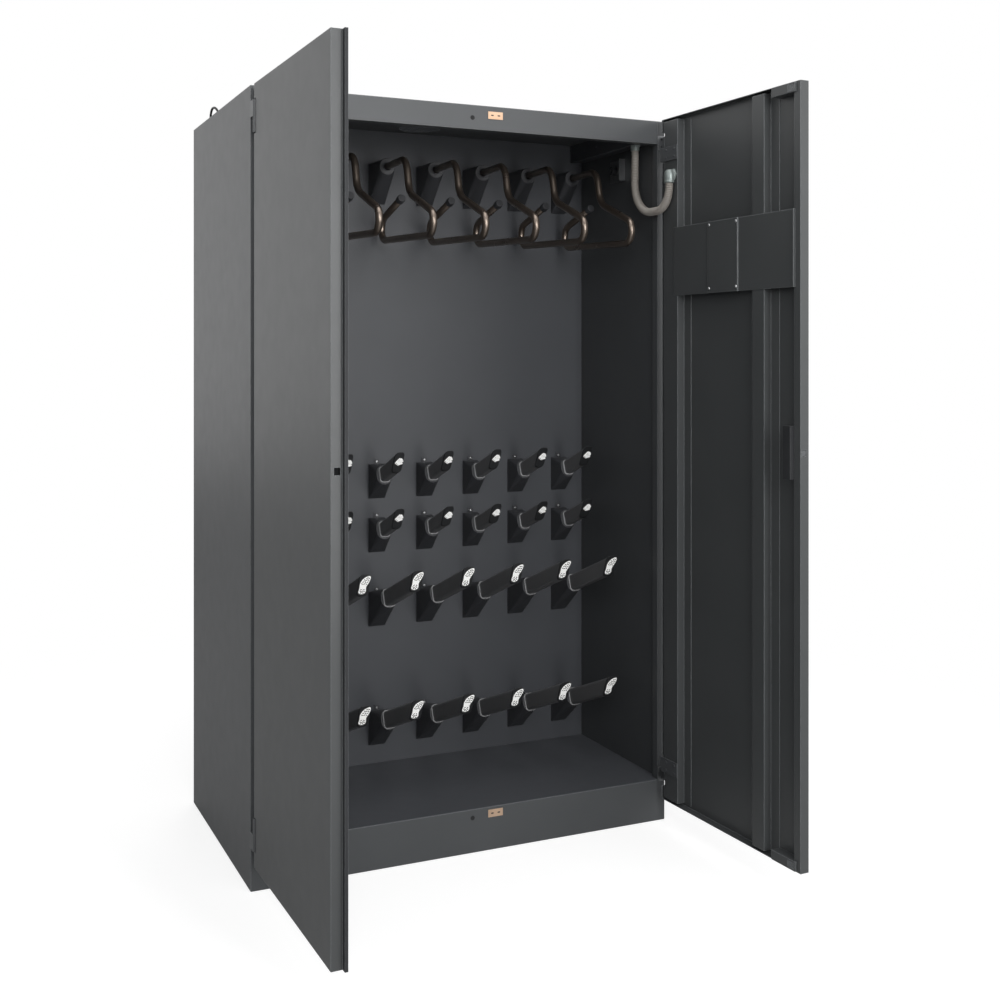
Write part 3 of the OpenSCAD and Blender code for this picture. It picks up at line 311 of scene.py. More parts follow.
# Black plastic, its black also painted shade: it keeps the spigot's lit inner wall from showing through the roof
# opening.
SPIGOT = Finish("spigot_black_plastic_painted_shade", (34, 35, 37), (30, 31, 33), Grain.MOULDED, 0.5, 0.05,
                grain_size=0.8, depth=0.03, edge_highlight=(70, 71, 73), edge_radius=0.8)
SCREW = Finish("screw_zinc_bright", (196, 197, 198), (170, 171, 172), Grain.BRUSHED, 0.3, 0.08, 1.0,
               grain_size=0.4, depth=0.008)
GLASS = Finish("touch_black_glass", (14, 14, 16), (11, 11, 13), Grain.GLASS, 0.22, 0.03, specular=0.3,
               grain_size=40.0, depth=0.001, coat=0.05, edge_highlight=(60, 61, 64), edge_radius=0.6)
LOCK = Finish("lock_black_zinc", (44, 45, 47), (38, 39, 41), Grain.MOULDED, 0.46, 0.07,
              grain_size=0.7, depth=0.02, edge_highlight=(96, 97, 99), edge_radius=0.6)
BOLT = Finish("bolt_dark_zinc", (96, 98, 100), (86, 88, 90), Grain.BRUSHED, 0.4, 0.06, 0.7,
              grain_size=0.5, depth=0.01, edge_highlight=(140, 142, 144), edge_radius=0.5)
LEVER = Finish("lever_dark_coat", (60, 62, 64), (54, 56, 58), Grain.POWDER, 0.38, 0.06,
               grain_size=0.9, depth=0.02, edge_highlight=(96, 98, 100), edge_radius=0.8)
COPPER = Finish("heater_fin_copper", (176, 122, 92), (150, 100, 74), Grain.BRUSHED, 0.42, 0.1, 0.9,
                grain_size=0.8, depth=0.01)
FIXING = Finish("fixing_dark_coat", (66, 68, 70), (60, 62, 64), Grain.POWDER, 0.4, 0.04, grain_size=0.8,
                depth=0.01)

BY_SLOT = {
    "shell_paint": SHELL, "inner_paint": INNER, "door_paint": DOOR, "sensor_plastic": SENSOR,
    "keeper_brass": KEEPER, "buffer_rubber": RUBBER, "hinge_steel": HINGE, "hanger_metal": HANGER,
    "socket_plastic": SOCKET, "tube_plastic": TUBE, "cap_plastic": CAP, "mark_white": MARK,
    "filter_fleece": FLEECE, "fan_zinc": ZINC, "motor_paint": MOTOR, "box_plastic": BOX,
    "cable_black": CABLE, "conduit_plastic": CONDUIT, "gland_nickel": NICKEL, "touch_gloss": GLASS,
    "lock_zinc": LOCK, "lever_paint": LEVER,
}
BY_NODE = {"air_heater": COPPER, "latch_bolt": BOLT, "left_door_hinges": STRAP, "right_door_hinges": STRAP,
           "left_frame_hinges": STRAP, "exhaust_spigot": SPIGOT, "sensor_bracket": HINGE,
           "left_door_lip": LIP_PAINTED_SHADE, "air_wall": AIR_WALL}


# ---------------------------------------------------------------- meshes


def circle(radius: float, sides: int) -> list[tuple[float, float]]:
    """Points of a circle."""
    return [(radius * math.cos(k * math.tau / sides), radius * math.sin(k * math.tau / sides))
            for k in range(sides)]


def rounded(width: float, height: float, radius: float, steps: int = 6) -> list[tuple[float, float]]:
    """Points of a rectangle with rounded corners, anticlockwise."""
    points = []
    for sx, sy, start in ((1, 1, 0), (-1, 1, 90), (-1, -1, 180), (1, -1, 270)):
        cx, cy = sx * (width / 2 - radius), sy * (height / 2 - radius)
        for k in range(steps + 1):
            a = math.radians(start + 90 * k / steps)
            points.append((cx + radius * math.cos(a), cy + radius * math.sin(a)))
    return points


def filleted(points: Sequence[Vector], radii: Sequence[float], steps: int = 10) -> list[Vector]:
    """Path through points, its corners rounded.

    Args:
        points: corners of the path.
        radii: radius at each inner corner.
        steps: points on each rounded corner.

    Returns:
        The path's points.
    """
    made = [points[0]]
    for i, radius in enumerate(radii, 1):
        a = (points[i - 1] - points[i]).normalized()
        b = (points[i + 1] - points[i]).normalized()
        half = a.angle(b) / 2
        centre = points[i] + (a + b).normalized() * (radius / math.sin(half))
        first = points[i] + a * (radius / math.tan(half)) - centre
        last = points[i] + b * (radius / math.tan(half)) - centre
        turn = first.angle(last)
        for k in range(steps + 1):
            s = k / steps
            made.append(centre + (first * math.sin((1 - s) * turn) + last * math.sin(s * turn)) / math.sin(turn))
    return made + [points[-1]]


@dataclass
class Shape:
    """Points and faces in millimetres that become one mesh piece."""

    points: list[Vector] = field(default_factory=list)
    faces: list[tuple[int, ...]] = field(default_factory=list)
    smooth: list[bool] = field(default_factory=list)

    def add(self, points: Iterable[Point], faces: Iterable[Sequence[int]], smooth: Iterable[bool],
            place: Matrix | None = None) -> "Shape":
        """Adds points and faces.

        Args:
            points: the points.
            faces: faces on those points.
            smooth: whether each face is shaded smooth.
            place: where the points go.

        Returns:
            This shape.
        """
        first = len(self.points)
        self.points += [Vector(p) if place is None else place @ Vector(p) for p in points]
        self.faces += [tuple(first + i for i in face) for face in faces]
        self.smooth += smooth
        return self

    def rings(self, rings: Sequence[Sequence[Point]], closed: bool = False, smooth: bool = True,
              place: Matrix | None = None, smooth_ends: bool = False) -> "Shape":
        """Wall through rings of points, with ends or closed on itself.

        Args:
            rings: the rings, each with as many points, anticlockwise seen from the last one.
            closed: whether the last ring joins the first.
            smooth: whether the wall is shaded smooth.
            place: where it goes.
            smooth_ends: whether the ends are shaded smooth.

        Returns:
            This shape.
        """
        n, count = len(rings[0]), len(rings)
        spans = count if closed else count - 1
        faces: list[tuple[int, ...]] = [
            (i * n + k, i * n + (k + 1) % n, ((i + 1) % count) * n + (k + 1) % n, ((i + 1) % count) * n + k)
            for i in range(spans) for k in range(n)]
        shading = [smooth] * len(faces)
        if not closed:
            faces += [tuple(reversed(range(n))), tuple(range((count - 1) * n, count * n))]
            shading += [smooth_ends] * 2
        return self.add([p for ring in rings for p in ring], faces, shading, place)

    def lathe(self, profile: Outline, sides: int = 24, place: Matrix | None = None,
              smooth: bool = True) -> "Shape":
        """Turned body about z.

        Args:
            profile: radius and height pairs, from the lowest to the highest end.
            sides: number of sides.
            place: where it goes.
            smooth: whether its wall is shaded smooth.

        Returns:
            This shape.
        """
        return self.rings([[(x, y, z) for x, y in circle(r, sides)] for r, z in profile], smooth=smooth, place=place)

    def box(self, low: Point, high: Point) -> "Shape":
        """Box from its lowest corner to its highest."""
        (x0, y0, z0), (x1, y1, z1) = low, high
        return self.rings([[(x0, y0, z), (x1, y0, z), (x1, y1, z), (x0, y1, z)] for z in (z0, z1)], smooth=False)

    def sweep(self, path: Sequence[Vector], outline: Outline, side: Point, closed: bool = False,
              smooth: bool = True) -> "Shape":
        """Outline carried along a path.

        Args:
            path: points of the path.
            outline: points across the path.
            side: direction that the outline's first axis starts near.
            closed: whether the path closes on itself.
            smooth: whether it is shaded smooth.

        Returns:
            This shape.
        """
        last = len(path) - 1
        v = Vector(side)
        rings = []
        for i, middle in enumerate(path):
            a = path[i - 1] if closed else path[max(i - 1, 0)]
            b = path[(i + 1) % len(path)] if closed else path[min(i + 1, last)]
            t = (b - a).normalized()
            v = (v - t * v.dot(t)).normalized()
            w = t.cross(v)
            rings.append([middle + v * x + w * y for x, y in outline])
        return self.rings(rings, closed, smooth)

    def plate(self, outline: Outline, low: float, high: float, chamfer: float = 0.0) -> "Shape":
        """Flat plate with an outline in x and y.

        Args:
            outline: its corners, anticlockwise.
            low: height of its back.
            high: height of its face.
            chamfer: how far its face is drawn in, towards the outline's centre.

        Returns:
            This shape.
        """
        cx = sum(x for x, _ in outline) / len(outline)
        cy = sum(y for _, y in outline) / len(outline)
        levels = [(1.0, low), (1.0, high - chamfer)]
        if chamfer > 0:
            reach = max(math.hypot(x - cx, y - cy) for x, y in outline)
            levels.append((1.0 - chamfer / reach, high))
        return self.rings([[(cx + (x - cx) * s, cy + (y - cy) * s, z) for x, y in outline] for s, z in levels],
                          smooth=False)

    def piece(self, name: str, finish: Finish | None = None) -> bpy.types.Object:
        """Makes the object.

        Args:
            name: name of the piece.
            finish: its finish.

        Returns:
            The new object.
        """
        mesh = bpy.data.meshes.new(name)
        mesh.from_pydata([tuple(p * MM) for p in self.points], [], self.faces)
        mesh.polygons.foreach_set("use_smooth", self.smooth)
        mesh.update()
        mesh.validate()
        if finish:
            mesh.materials.append(finish.material())
        return linked(name, mesh)


def screw_head(radius: float, height: float, recess: float) -> Shape:
    """Domed head with a recess, around the origin, z out of the surface.

    Args:
        radius: radius of the head.
        height: its height.
        recess: radius of the recess.

    Returns:
        The head.
    """
    profile = [(radius * 0.92, 0.0), (radius, 0.25 * height), (radius * 0.86, 0.72 * height),
               (radius * 0.6, 0.97 * height), (recess, height), (recess * 0.9, 0.45 * height)]
    return Shape().lathe(profile, 12, smooth=False)


def facing(outward: Point) -> Matrix:
    """Turn that takes z to outward and keeps y upright, or to the back where z is upright.

    Args:
        outward: where the part's z goes.

    Returns:
        The turn.
    """
    z = Vector(outward).normalized()
    y = Vector((0, 1, 0)) if abs(z.z) > 0.99 else Vector((0, 0, 1))
    x = y.cross(z).normalized()
    return Matrix((x, z.cross(x), z)).transposed()


def on_door(right: bool, u: float, y: float, z: float) -> Vector:
    """Point of an open door in the cabinet's frame.

    Args:
        right: whether it is the right door.
        u: distance from the hinge axis along the door.
        y: distance from the hinge axis towards the cabinet's side of the door.
        z: height.

    Returns:
        The point.
    """
    side, a = (1, math.radians(RIGHT_OPEN)) if right else (-1, math.radians(-LEFT_OPEN))
    return Vector((side * (HINGE_X - u * math.cos(a)) - y * math.sin(a),
                   HINGE_Y - side * u * math.sin(a) + y * math.cos(a), z))


def door_normal(right: bool) -> Vector:
    """Direction out of an open door's inner face."""
    return on_door(right, 0, 1, 0) - on_door(right, 0, 0, 0)


# ---------------------------------------------------------------- repeats


class Tree:
    """A Geometry Nodes group with named inputs, the last of them its finish."""

    def __init__(self, name: str, inputs: dict[str, str]) -> None:
        """Starts the group.

        Args:
            name: name of the group.
            inputs: name and socket type of each input between the geometry and the finish.
        """
        self.group = bpy.data.node_groups.new(name, "GeometryNodeTree")
        face = self.group.interface
        kinds = {"Geometry": "NodeSocketGeometry", **inputs, "Finish": "NodeSocketMaterial"}
        for label, kind in kinds.items():
            face.new_socket(name=label, in_out="INPUT", socket_type=kind)
        face.new_socket(name="Geometry", in_out="OUTPUT", socket_type="NodeSocketGeometry")
        self.source = self.node("NodeGroupInput").outputs

    def node(self, kind: str, feeds: dict[str | int, object] | None = None, **settings: object) -> bpy.types.Node:
        """Adds a node, with its inputs fed."""
        return wired(self.group, kind, feeds, **settings)

    def sum(self, operation: str, *terms: object, **settings: object) -> Socket:
        """Result of a sum on values or sockets."""
        return self.node("ShaderNodeMath", dict(enumerate(terms)), operation=operation, **settings).outputs[0]

    def end(self, shape: Socket) -> "Tree":
        """Realises the instances, sets the finish and closes the tree.

        Args:
            shape: the socket with the geometry.

        Returns:
            This tree.
        """
        real = self.node("GeometryNodeRealizeInstances", {"Geometry": shape}).outputs["Geometry"]
        paint = self.node("GeometryNodeSetMaterial", {"Geometry": real, "Material": self.source["Finish"]})
        self.node("NodeGroupOutput", {0: paint.outputs["Geometry"]})
        return self

    def apply(self, made: bpy.types.Object, **values: object) -> None:
        """Puts the tree on an object, sets its inputs and keeps the result as a plain mesh.

        Args:
            made: the object.
            values: value of each input, with _ for a space.
        """
        keys = {i.name: i.identifier for i in self.group.interface.items_tree
                if getattr(i, "in_out", "") == "INPUT"}
        modifier = made.modifiers.new("repeat", "NODES")
        modifier.node_group = self.group
        for label, value in values.items():
            modifier[keys[label.replace("_", " ")]] = value
        bpy.context.view_layer.update()
        mesh = bpy.data.meshes.new_from_object(made.evaluated_get(bpy.context.evaluated_depsgraph_get()))
        made.modifiers.clear()
        made.data = mesh


def fit(made: bpy.types.Object, body: str, slot: str, *nodes: str) -> bpy.types.Object:
    """Hands a finished piece to the frame.

    Args:
        made: the piece.
        body: the body that it rides on.
        slot: not used.
        nodes: the CAD nodes that it stands for.

    Returns:
        The piece.
    """
    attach(made, body)
    if nodes:
        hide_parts(*nodes)
    LOG.info("%s on %s, %d faces", made.name, body, len(getattr(made.data, "polygons", ())))
    return made


class Repeats:
    """The node groups that repeat small parts over the cabinet."""

    def __init__(self) -> None:
        """Builds the two groups."""
        self.scatter = self._scatter()
        self.hose = self._hose()

    @staticmethod
    def _scatter() -> Tree:
        """Group that sets a part at each point, turned as the point says."""
        tree = Tree("parts_at_points", {"Part": "NodeSocketObject", "Size": "NodeSocketFloat"})
        part = tree.node("GeometryNodeObjectInfo", {"Object": tree.source["Part"]})
        turn = tree.node("GeometryNodeInputNamedAttribute", {"Name": "turn"}, data_type="FLOAT_VECTOR")
        angle = tree.node("FunctionNodeEulerToRotation", {"Euler": turn.outputs["Attribute"]})
        copies = tree.node("GeometryNodeInstanceOnPoints", {
            "Points": tree.source["Geometry"], "Instance": part.outputs["Geometry"],
            "Rotation": angle.outputs["Rotation"], "Scale": tree.source["Size"]})
        return tree.end(copies.outputs["Instances"])

    @staticmethod
    def _hose() -> Tree:
        """Group that turns a line into a hose with round ribs."""
        tree = Tree("ribbed_hose", {"Ribs": "NodeSocketInt", "Radius": "NodeSocketFloat",
                                    "Rib depth": "NodeSocketFloat", "Sides": "NodeSocketInt",
                                    "Steps": "NodeSocketInt"})
        curve = tree.node("GeometryNodeMeshToCurve", {"Mesh": tree.source["Geometry"]})
        even = tree.node("GeometryNodeResampleCurve", {"Curve": curve.outputs["Curve"],
                                                       "Count": tree.source["Steps"]})
        along = tree.node("GeometryNodeSplineParameter").outputs["Factor"]
        turn = tree.sum("MULTIPLY", tree.sum("MULTIPLY", along, tree.source["Ribs"]), math.tau)
        sharp = tree.sum("MULTIPLY_ADD", tree.sum("COSINE", turn), -0.85, 0.5, use_clamp=True)
        lift = tree.sum("SUBTRACT", sharp, 1.0)
        radius = tree.sum("MULTIPLY_ADD", lift, tree.source["Rib depth"], tree.source["Radius"])
        ring = tree.node("GeometryNodeCurvePrimitiveCircle", {"Radius": 1.0, "Resolution": tree.source["Sides"]})
        wall = tree.node("GeometryNodeCurveToMesh", {
            "Fill Caps": True, "Curve": even.outputs["Curve"], "Profile Curve": ring.outputs["Curve"],
            "Scale": radius})
        return tree.end(wall.outputs["Mesh"])

    def fit(self, name: str, part: Shape, spots: Spots, finish: Finish, body: str, slot: str, *nodes: str,
            size: float = 1.0) -> None:
        """Makes one piece of copies of a part and hands it to the frame.

        Args:
            name: name of the piece.
            part: the part, around its own origin, with z out of the surface.
            spots: place in millimetres and turn of each copy.
            finish: its finish.
            body: the body that it rides on.
            slot: the material slot, handed on to fit, which does not use it.
            nodes: the CAD nodes that it stands for.
            size: scale of the copies.
        """
        mesh = bpy.data.meshes.new(name)
        mesh.from_pydata([tuple(Vector(p) * MM) for p, _ in spots], [], [])
        turns = mesh.attributes.new("turn", "FLOAT_VECTOR", "POINT")
        for i, (_, turn) in enumerate(spots):
            turns.data[i].vector = turn.to_euler("XYZ")
        made = linked(name, mesh)
        pattern = part.piece(name + "_pattern")
        self.scatter.apply(made, Part=pattern, Size=size, Finish=finish.material())
        bpy.data.objects.remove(pattern)
        fit(made, body, slot, *nodes)


# ---------------------------------------------------------------- studio


@dataclass(frozen=True)
class Lamp:
    """Area lamp: where it hangs and what it points at in metres, its side, its power in watts, and its
    height where it isn't square."""

    name: str
    place: Point
    aim: Point
    size: float
    power: float
    height: float | None = None

    def build(self) -> None:
        """Makes the lamp."""
        data = bpy.data.lights.new(self.name, "AREA")
        data.size = self.size
        if self.height:
            data.shape = "RECTANGLE"
            data.size_y = self.height
        data.energy = self.power
        made = linked(self.name, data)
        made.location = self.place
        made.rotation_euler = (Vector(self.aim) - Vector(self.place)).to_track_quat("-Z", "Y").to_euler()


LAMPS = (
    Lamp("key", (-1.1, -5.2, 2.9), (0.1, -0.2, 1.0), 2.4, 100.0),
    Lamp("strip", (0.42, -4.2, 1.65), (0.32, -0.3, 1.65), 0.45, 46.0, 2.7),
    Lamp("side", (-4.4, -2.2, 2.9), (-0.4, -0.2, 1.3), 2.2, 26.0),
    Lamp("fill", (2.6, -5.0, 2.0), (0.2, 0.0, 0.9), 2.4, 50.0),
    Lamp("top", (0.0, -1.2, 4.6), (0.0, 0.0, 1.0), 2.4, 40.0),
    Lamp("back", (1.5, 4.5, 3.0), (0.0, 0.0, 1.0), 2.6, 60.0),
)


@dataclass
class Studio:
    """Camera, lamps, floor and background."""

    eye: tuple[float, float, float] = (-1.3656, -3.4900, 1.3273)
    heading: float = -24.73
    lens: float = 46.09
    sensor: float = 36.0
    shift: float = -0.1436
    floor_half: float = 12000.0
    floor_fade: tuple[float, float] = (0.9, 2.6)
    soft_light: float = 0.44

    def build(self) -> None:
        """Makes the camera, the lamps, the floor and the world."""
        self._camera()
        for lamp in LAMPS:
            lamp.build()
        self._floor()
        self._world()

    def _camera(self) -> None:
        """Sets the camera where the photograph was taken from."""
        data = bpy.data.cameras.new("camera")
        data.lens = self.lens
        data.sensor_width = self.sensor
        data.shift_y = self.shift
        made = linked("camera", data)
        made.location = self.eye
        made.rotation_euler = (math.radians(90.0), 0.0, math.radians(self.heading))
        bpy.context.scene.camera = made

    def _floor(self) -> None:
        """White floor that keeps the soft shadow under the cabinet."""
        far = self.floor_half
        made = Shape().add([(-far, -far, -1), (far, -far, -1), (far, far, -1), (-far, far, -1)],
                           [(0, 1, 2, 3)], [False]).piece("studio_floor")
        paint = bpy.data.materials.new("studio_floor_white")
        paint.use_nodes = True
        tree = paint.node_tree
        tree.nodes.clear()
        matte = wired(tree, "ShaderNodeBsdfDiffuse", {"Color": (0.5, 0.5, 0.5, 1.0)})
        seen = wired(tree, "ShaderNodeBsdfDiffuse", {"Color": (0.42, 0.42, 0.42, 1.0)})
        glow = wired(tree, "ShaderNodeEmission", {"Strength": 0.72})
        near = wired(tree, "ShaderNodeAddShader", {0: seen.outputs[0], 1: glow.outputs[0]})
        place = wired(tree, "ShaderNodeTexCoord")
        reach = wired(tree, "ShaderNodeVectorMath", {0: place.outputs["Object"]}, operation="LENGTH")
        fade = wired(tree, "ShaderNodeMapRange", {
            "Value": reach.outputs["Value"], "From Min": self.floor_fade[0], "From Max": self.floor_fade[1],
        }, interpolation_type="SMOOTHSTEP")
        white = wired(tree, "ShaderNodeEmission")
        both = wired(tree, "ShaderNodeMixShader", {0: fade.outputs["Result"], 1: near.outputs[0],
                                                   2: white.outputs[0]})
        light = wired(tree, "ShaderNodeLightPath")
        pick = wired(tree, "ShaderNodeMixShader", {0: light.outputs["Is Camera Ray"], 1: matte.outputs[0],
                                                   2: both.outputs[0]})
        wired(tree, "ShaderNodeOutputMaterial", {0: pick.outputs[0]})
        made.data.materials.append(paint)

    def _world(self) -> None:
        """White background for the camera and in reflections, and plain soft light for all else."""
        world = bpy.data.worlds.new("studio")
        world.use_nodes = True
        tree = world.node_tree
        tree.nodes.clear()
        ray = wired(tree, "ShaderNodeLightPath").outputs
        plain = wired(tree, "ShaderNodeBackground", {"Color": WHITE, "Strength": self.soft_light})
        white = wired(tree, "ShaderNodeBackground", {"Color": WHITE})
        clear = wired(tree, "ShaderNodeMath", {0: ray["Is Glossy Ray"], 1: ray["Is Transmission Ray"]},
                      operation="MAXIMUM")
        shown = wired(tree, "ShaderNodeMath", {0: ray["Is Camera Ray"], 1: clear.outputs[0]}, operation="MAXIMUM")
        pick = wired(tree, "ShaderNodeMixShader", {0: shown.outputs[0], 1: plain.outputs[0], 2: white.outputs[0]})
        wired(tree, "ShaderNodeOutputWorld", {0: pick.outputs[0]})
        bpy.context.scene.world = world


# ---------------------------------------------------------------- mains lead


@dataclass
class MainsLead:
    """Lead on the roof: strain relief, arch, stored coil with its tie, and plug."""

    diameter: float = 7.0
    exit_x: float = -565.0
    rise: float = 22.0
    route: tuple[tuple[float, float, float], ...] = (
        (0, 70, 22), (0, 74, 36), (0, 84, 46), (0, 98, 50), (1, 112, 50), (2, 125, 47), (4, 138, 40),
        (7, 150, 29), (13, 162, 17), (23, 173, 9), (38, 182, 5), (57, 188, 4), (77, 191, 4), (99, 192, 4),
        (121, 192, 4), (145, 191, 4), (169, 189, 4))
    turns: int = 3
    inner: float = 30.0
    steps: int = 24
    gap: float = 0.5
    plug_radius: float = 18.0
    plug_turn: float = -26.0
    coil_right: float = 235.0
    coil_front: float = 240.0
    tie_turn: float = 200.0
    tie_corner: float = 4.5
    tie_gap: float = 0.9

    def _coil(self) -> list[Vector]:
        """Points of the stored coil, in and out again on top of itself."""
        pitch = self.diameter + self.gap
        outer = self.inner + self.turns * pitch
        half = self.turns * self.steps
        x, y = self.exit_x + self.coil_right, REAR_Y - self.coil_front
        points = []
        for i in range(2 * half + 1):
            a = math.radians(90 - 360 * i / self.steps)
            r = outer - pitch * min(i, 2 * half - i) / self.steps
            climb = max(0.0, min(1.0, (i - half) * 2 / self.steps + 0.5))
            points.append(Vector((x + r * math.cos(a), y + r * math.sin(a),
                                  CAB_TOP + self.diameter / 2 + self.gap + climb * pitch)))
        return points

    @staticmethod
    def _curve(p: Sequence[Vector], steps: int) -> list[Vector]:
        """Smooth curve through points.

        Args:
            p: the points.
            steps: points on each span.

        Returns:
            The curve's points, without the last.
        """
        made = []
        for i in range(len(p) - 1):
            a, b, c, d = p[max(i - 1, 0)], p[i], p[i + 1], p[min(i + 2, len(p) - 1)]
            for k in range(steps):
                s = k / steps
                made.append(0.5 * (2 * b + (c - a) * s + (2 * a - 5 * b + 4 * c - d) * s * s
                                   + (3 * b - a - 3 * c + d) * s ** 3))
        return made

    def build(self) -> None:
        """Makes the cord and the pieces on it."""
        coil = self._coil()
        start = [Vector((self.exit_x + x, REAR_Y - y, CAB_TOP + z)) for x, y, z in self.route]
        entry = [coil[0] - Vector((45, 0, 0)), coil[0] - Vector((18, 0, 0)), coil[0]]
        lead = self._curve(start + entry, 2)
        out = coil[-1]
        back = Vector((out.x + 62, out.y - 17, CAB_TOP + self.plug_radius))
        tail = self._curve([out, out + Vector((12, 0, 0)), out + Vector((30, -3, 2)),
                            out + Vector((46, -9, 5)), back], 2) + [back]
        path = lead + coil[:-1] + tail
        cord = self._spline(path)
        plug = self._plug(back)
        tie = self._tie(coil)
        relief = self._relief()
        fit(cord, "cabinet", "cable_black", "mains_lead", "mains_coil")

    def _spline(self, path: Sequence[Vector]) -> bpy.types.Object:
        """The cord as one open spline.

        Args:
            path: its points.

        Returns:
            The cord.
        """
        data = bpy.data.curves.new("mains_cord", "CURVE")
        data.dimensions = "3D"
        data.bevel_depth = self.diameter / 2 * MM
        data.bevel_resolution = 3
        data.use_fill_caps = True
        spline = data.splines.new("POLY")
        spline.points.add(len(path) - 1)
        for spot, p in zip(spline.points, path):
            spot.co = (*(p * MM), 1.0)
        spline.use_smooth = True
        data.materials.append(CABLE.material())
        return linked("mains_cord", data)

    def _relief(self) -> bpy.types.Object:
        """Tapered strain relief with grooves, over a hexagonal base."""
        shape = Shape()
        place = Matrix.Translation((self.exit_x, REAR_Y - self.route[0][1], CAB_TOP))
        shape.lathe([(10.4, 0.05), (11, 0.6), (11, 4.4), (10.4, 5)], 6, place, False)
        profile = [(9.2, 5.0)]
        for i in range(5):
            z = 6.0 + i * 3.0
            r = 9.0 - i * 0.95
            profile += [(r, z), (r - 0.1, z + 1.7), (r - 1.3, z + 1.9), (r - 1.35, z + 2.8)]
        profile += [(self.diameter / 2 + 0.75, self.rise - 0.8), (self.diameter / 2 + 0.1, self.rise)]
        shape.lathe(profile, 24, place)
        return fit(shape.piece("strain_relief", CABLE), "cabinet", "cable_black", "mains_gland")

    def _tie(self, coil: Sequence[Vector]) -> bpy.types.Object:
        """Flat band round the turns on the coil's left side.

        Args:
            coil: the coil's points.

        Returns:
            The tie.
        """
        cx = sum(p.x for p in coil) / len(coil)
        cy = REAR_Y - self.coil_front
        pitch = self.diameter + self.gap
        outer = self.inner + self.turns * pitch + self.diameter / 2 + self.tie_gap
        inner = self.inner - self.diameter / 2 - self.tie_gap
        low, high = CAB_TOP + 0.22, CAB_TOP + self.gap + self.diameter + pitch + self.tie_gap
        turn = math.radians(self.tie_turn)
        ring = []
        for x, z in rounded(outer - inner, high - low, self.tie_corner, 5):
            r = x + (inner + outer) / 2
            ring.append(Vector((cx + r * math.cos(turn), cy + r * math.sin(turn), z + (low + high) / 2)))
        side = Vector((-math.sin(turn), math.cos(turn), 0.0))
        shape = Shape().sweep(ring, [(-5, -0.2), (5, -0.2), (5, 0.2), (-5, 0.2)], side, closed=True, smooth=False)
        return fit(shape.piece("coil_tie", RUBBER), "cabinet", "cable_black")

    def _plug(self, back: Vector) -> bpy.types.Object:
        """Round plug with grip flutes, two pins and a ribbed neck.

        Args:
            back: where the cord enters it.

        Returns:
            The plug.
        """
        turn = Matrix.Rotation(math.radians(self.plug_turn), 4, "Z") @ Matrix.Rotation(math.radians(90), 4, "Y")
        place = Matrix.Translation(back) @ turn
        shape = Shape()
        neck = [(4.4, -0.5)]
        for i in range(4):
            neck += [(6.2 + i, i * 2.4), (6.5 + i, i * 2.4 + 1.5), (5.4 + i, i * 2.4 + 1.7), (5.6 + i, i * 2.4 + 2.3)]
        shape.lathe(neck + [(10.8, 9.6)], 24, place)
        sides = 40
        rows = [(10.5, 9.0, 0.0), (14.6, 12.2, 0.0), (16.9, 17.0, 0.5), (17.4, 22.0, 0.9), (17.4, 34.0, 0.9),
                (17.7, 37.0, 0.2), (17.9, 39.5, 0.0), (17.4, 41.4, 0.0), (16.6, 42.0, 0.0)]
        rings = []
        for r, z, flute in rows:
            low, high = circle(r - flute, sides), circle(r, sides)
            rings.append([(*(low if k % 4 in (1, 2) else high)[k], z) for k in range(sides)])
        shape.rings(rings, place=place, smooth_ends=True)
        body = fit(shape.piece("plug_body", CABLE), "cabinet", "cable_black", "mains_plug")
        pins = Shape()
        for s in SIDES:
            pins.lathe([(2.4, 41.5), (2.4, 57.0), (2.1, 58.6), (1.2, 59.4)], 16,
                       place @ Matrix.Translation((0, s * 9.5, 0)))
        made = pins.piece("plug_pins", SCREW)
        fit(made, "cabinet", "gland_nickel")
        made.parent = body
        made.matrix_parent_inverse = Matrix.Identity(4)
        return body


# ---------------------------------------------------------------- door conduit


